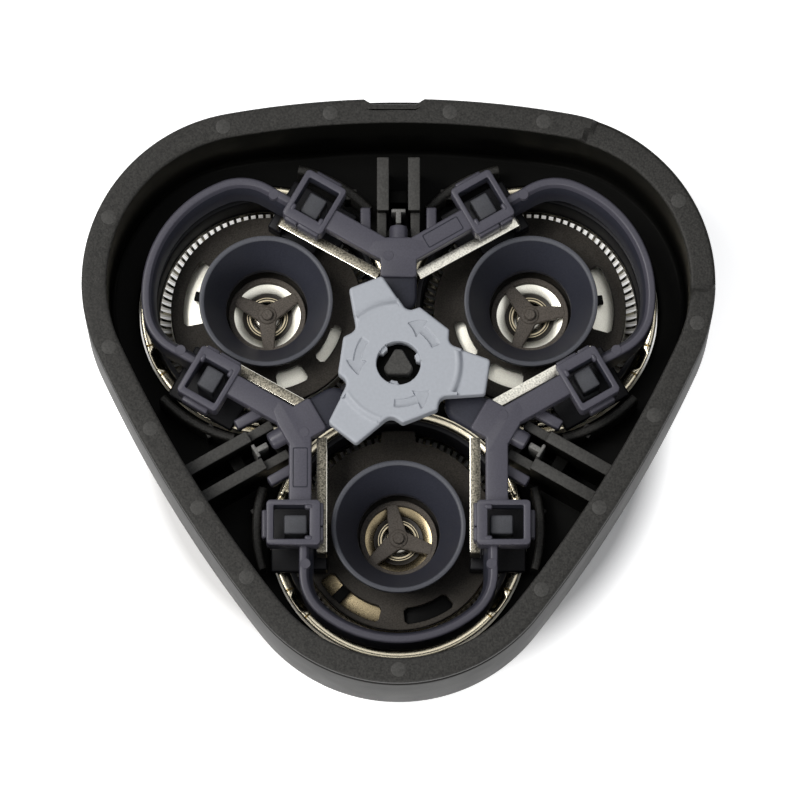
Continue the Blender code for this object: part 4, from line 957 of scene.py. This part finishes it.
# Quarter circles from the wall to a face: how far the edge is inset, and its height in radii
turn_down = np.radians(np.linspace(0, 90, 6))
quarter = np.column_stack([1 - np.sin(turn_down), 1 - np.cos(turn_down)])
lock_edge, inner_edge, under_edge = 0.28, 0.12, 0.15
rim_line = star_line - lock_edge * star_normal
rim_height = lock_face(np.linalg.norm(rim_line, axis=1), bearing(rim_line))
spoke = polar(1.0, star_angle).T
inner_height = lock_face(hole_line + inner_edge, star_angle)
levels = []
for inset, rise in inner_edge * quarter:
    levels.append(level(spoke * (hole_line + inset)[:, None], lock_bottom + rise))
for inset, rise in inner_edge * quarter[::-1]:
    levels.append(level(spoke * (hole_line + inset)[:, None], inner_height - rise))
for share in np.linspace(0, 1, 60)[1:-1]:
    flat = spoke * (hole_line + inner_edge)[:, None] * (1 - share) + rim_line * share
    levels.append(level(flat, lock_face(np.linalg.norm(flat, axis=1), bearing(flat))))
for inset, rise in lock_edge * quarter:
    levels.append(level(star_line - inset * star_normal, rim_height - rise))
for inset, rise in under_edge * quarter[::-1]:
    levels.append(level(star_line - inset * star_normal, lock_bottom + rise))
points, faces = grid(np.stack(levels))
middle = points[np.array(faces)].mean(axis=1)
in_arrow = arrow_depth(np.hypot(middle[:, 0], middle[:, 1]), bearing(middle))
in_arrow = (in_arrow > 0.5) & (middle[:, 2] > (lock_bottom + lock_top) / 2)
lock_plastic = moulded_plastic("lock_look", (0.39, 0.41, 0.445), roughness=0.42, grain=0.3, relief=0.002,
                               mottle=0.03, sheen=0.2)
# The arrows' faces are painted a little darker than the lock, as shade in their sunk recess
arrow_plastic = moulded_plastic("arrow_look", (0.365, 0.384, 0.417), roughness=0.45, grain=0.3, relief=0.002,
                                mottle=0.03, sheen=0.15)
lock = piece("lock_shell", [moved((points, faces, in_arrow * 1), place=lock_axis)], lock_plastic,
             arrow_plastic, sharp=50)
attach(lock, "lock")
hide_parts("lock")

# Floor, light and camera
# The head lies on a white table under a soft light from the upper left, a weak one from the right and
# a low one from the front. Under the head the table doesn't glow, so it stays dark through the slots.


def for_camera_and_gloss(nodes, links):
    """1 for rays from the camera, off gloss or through glass, and 0 for the light that spreads."""
    ray = nodes.new("ShaderNodeLightPath")
    value = ray.outputs["Is Camera Ray"]
    for name in ("Is Glossy Ray", "Is Transmission Ray"):
        larger = nodes.new("ShaderNodeMath")
        larger.operation = "MAXIMUM"
        links.new(value, larger.inputs[0])
        links.new(ray.outputs[name], larger.inputs[1])
        value = larger.outputs[0]
    return value


white = bpy.data.materials.new("white_table")
white.use_nodes = True
nodes, links = white.node_tree.nodes, white.node_tree.links
nodes.remove(nodes["Principled BSDF"])
distance_out = nodes.new("ShaderNodeVectorMath")
distance_out.operation = "LENGTH"
links.new(nodes.new("ShaderNodeTexCoord").outputs["Object"], distance_out.inputs[0])
strength = nodes.new("ShaderNodeMath")
strength.operation = "MULTIPLY"
links.new(for_camera_and_gloss(nodes, links), strength.inputs[0])
remapped(nodes, links, distance_out.outputs["Value"], strength.inputs[1],
         From_Min=26 * MM, From_Max=29 * MM, To_Max=0.75)
matt, glow = nodes.new("ShaderNodeBsdfDiffuse"), nodes.new("ShaderNodeEmission")
matt.inputs["Color"].default_value = (0.8, 0.8, 0.8, 1)
glow.inputs["Color"].default_value = (1, 1, 1, 1)
links.new(strength.outputs[0], glow.inputs["Strength"])
both = nodes.new("ShaderNodeAddShader")
links.new(matt.outputs[0], both.inputs[0])
links.new(glow.outputs[0], both.inputs[1])
links.new(both.outputs[0], nodes["Material Output"].inputs["Surface"])
table_half = 2.0
table_corners = [(x * table_half, y * table_half, 0) for x, y in ((-1, -1), (1, -1), (1, 1), (-1, 1))]
floor_mesh = bpy.data.meshes.new("table")
floor_mesh.from_pydata(table_corners, [], [(0, 1, 2, 3)])
floor_mesh.materials.append(white)
floor = bpy.data.objects.new("table", floor_mesh)
bpy.context.scene.collection.objects.link(floor)

world = bpy.data.worlds.new("studio")
world.use_nodes = True
nodes, links = world.node_tree.nodes, world.node_tree.links
spread_light, shown_white = nodes["Background"], nodes.new("ShaderNodeBackground")
spread_light.inputs["Color"].default_value = (0.85, 0.9, 1.0, 1)
spread_light.inputs["Strength"].default_value = 0.22
shown_white.inputs["Color"].default_value = (1, 1, 1, 1)
mix = nodes.new("ShaderNodeMixShader")
links.new(for_camera_and_gloss(nodes, links), mix.inputs["Fac"])
links.new(spread_light.outputs[0], mix.inputs[1])
links.new(shown_white.outputs[0], mix.inputs[2])
links.new(mix.outputs[0], nodes["World Output"].inputs["Surface"])
bpy.context.scene.world = world

lamp_target = (0, 0, 0.01)


def softbox(name, place, width, depth, power, colour):
    """A rectangular lamp at a place, facing the head, with its size in metres and power in watts."""
    lamp = bpy.data.lights.new(name, "AREA")
    lamp.shape = "RECTANGLE"
    lamp.size, lamp.size_y, lamp.energy, lamp.color = width, depth, power, colour
    made = bpy.data.objects.new(name, lamp)
    bpy.context.scene.collection.objects.link(made)
    made.location = place
    made.rotation_euler = (Vector(lamp_target) - Vector(place)).to_track_quat("-Z", "Y").to_euler()


softbox("top_light", (-0.3, 0.05, 0.5), 0.3, 0.3, 2.6, (1.0, 0.98, 0.95))
softbox("side_light", (0.45, 0.05, 0.35), 0.12, 0.3, 0.2, (0.95, 0.97, 1.0))
softbox("front_light", (-0.1, -0.5, 0.3), 0.4, 0.12, 1.4, (1.0, 0.98, 0.95))

# The camera looks down from the front, so that the lock's axis falls on its pixel in the photo
view_width, image_pixels = 82.72 * MM, 800
lock_pixel = (398.5, 362.5)
elevation, distance = np.radians(78), 700 * MM
right, up = np.array([1, 0, 0]), np.array([0, np.sin(elevation), np.cos(elevation)])
shift_right, shift_up = lock_pixel[0] - image_pixels / 2, image_pixels / 2 - lock_pixel[1]
aim = np.array([lock_axis[0], lock_axis[1], lock_top]) * MM
aim = aim - (shift_right * right + shift_up * up) * view_width / image_pixels
lens = bpy.data.cameras.new("camera")
lens.sensor_width = 36.0
lens.lens = lens.sensor_width * distance / view_width
lens.clip_start = 0.01
camera = bpy.data.objects.new("camera", lens)
bpy.context.scene.collection.objects.link(camera)
place = aim + distance * np.array([0, -np.cos(elevation), np.sin(elevation)])
camera.location = place
camera.rotation_euler = (Vector(aim) - Vector(place)).to_track_quat("-Z", "Y").to_euler()
bpy.context.scene.camera = camera
bpy.context.scene.view_settings.view_transform = "Standard"
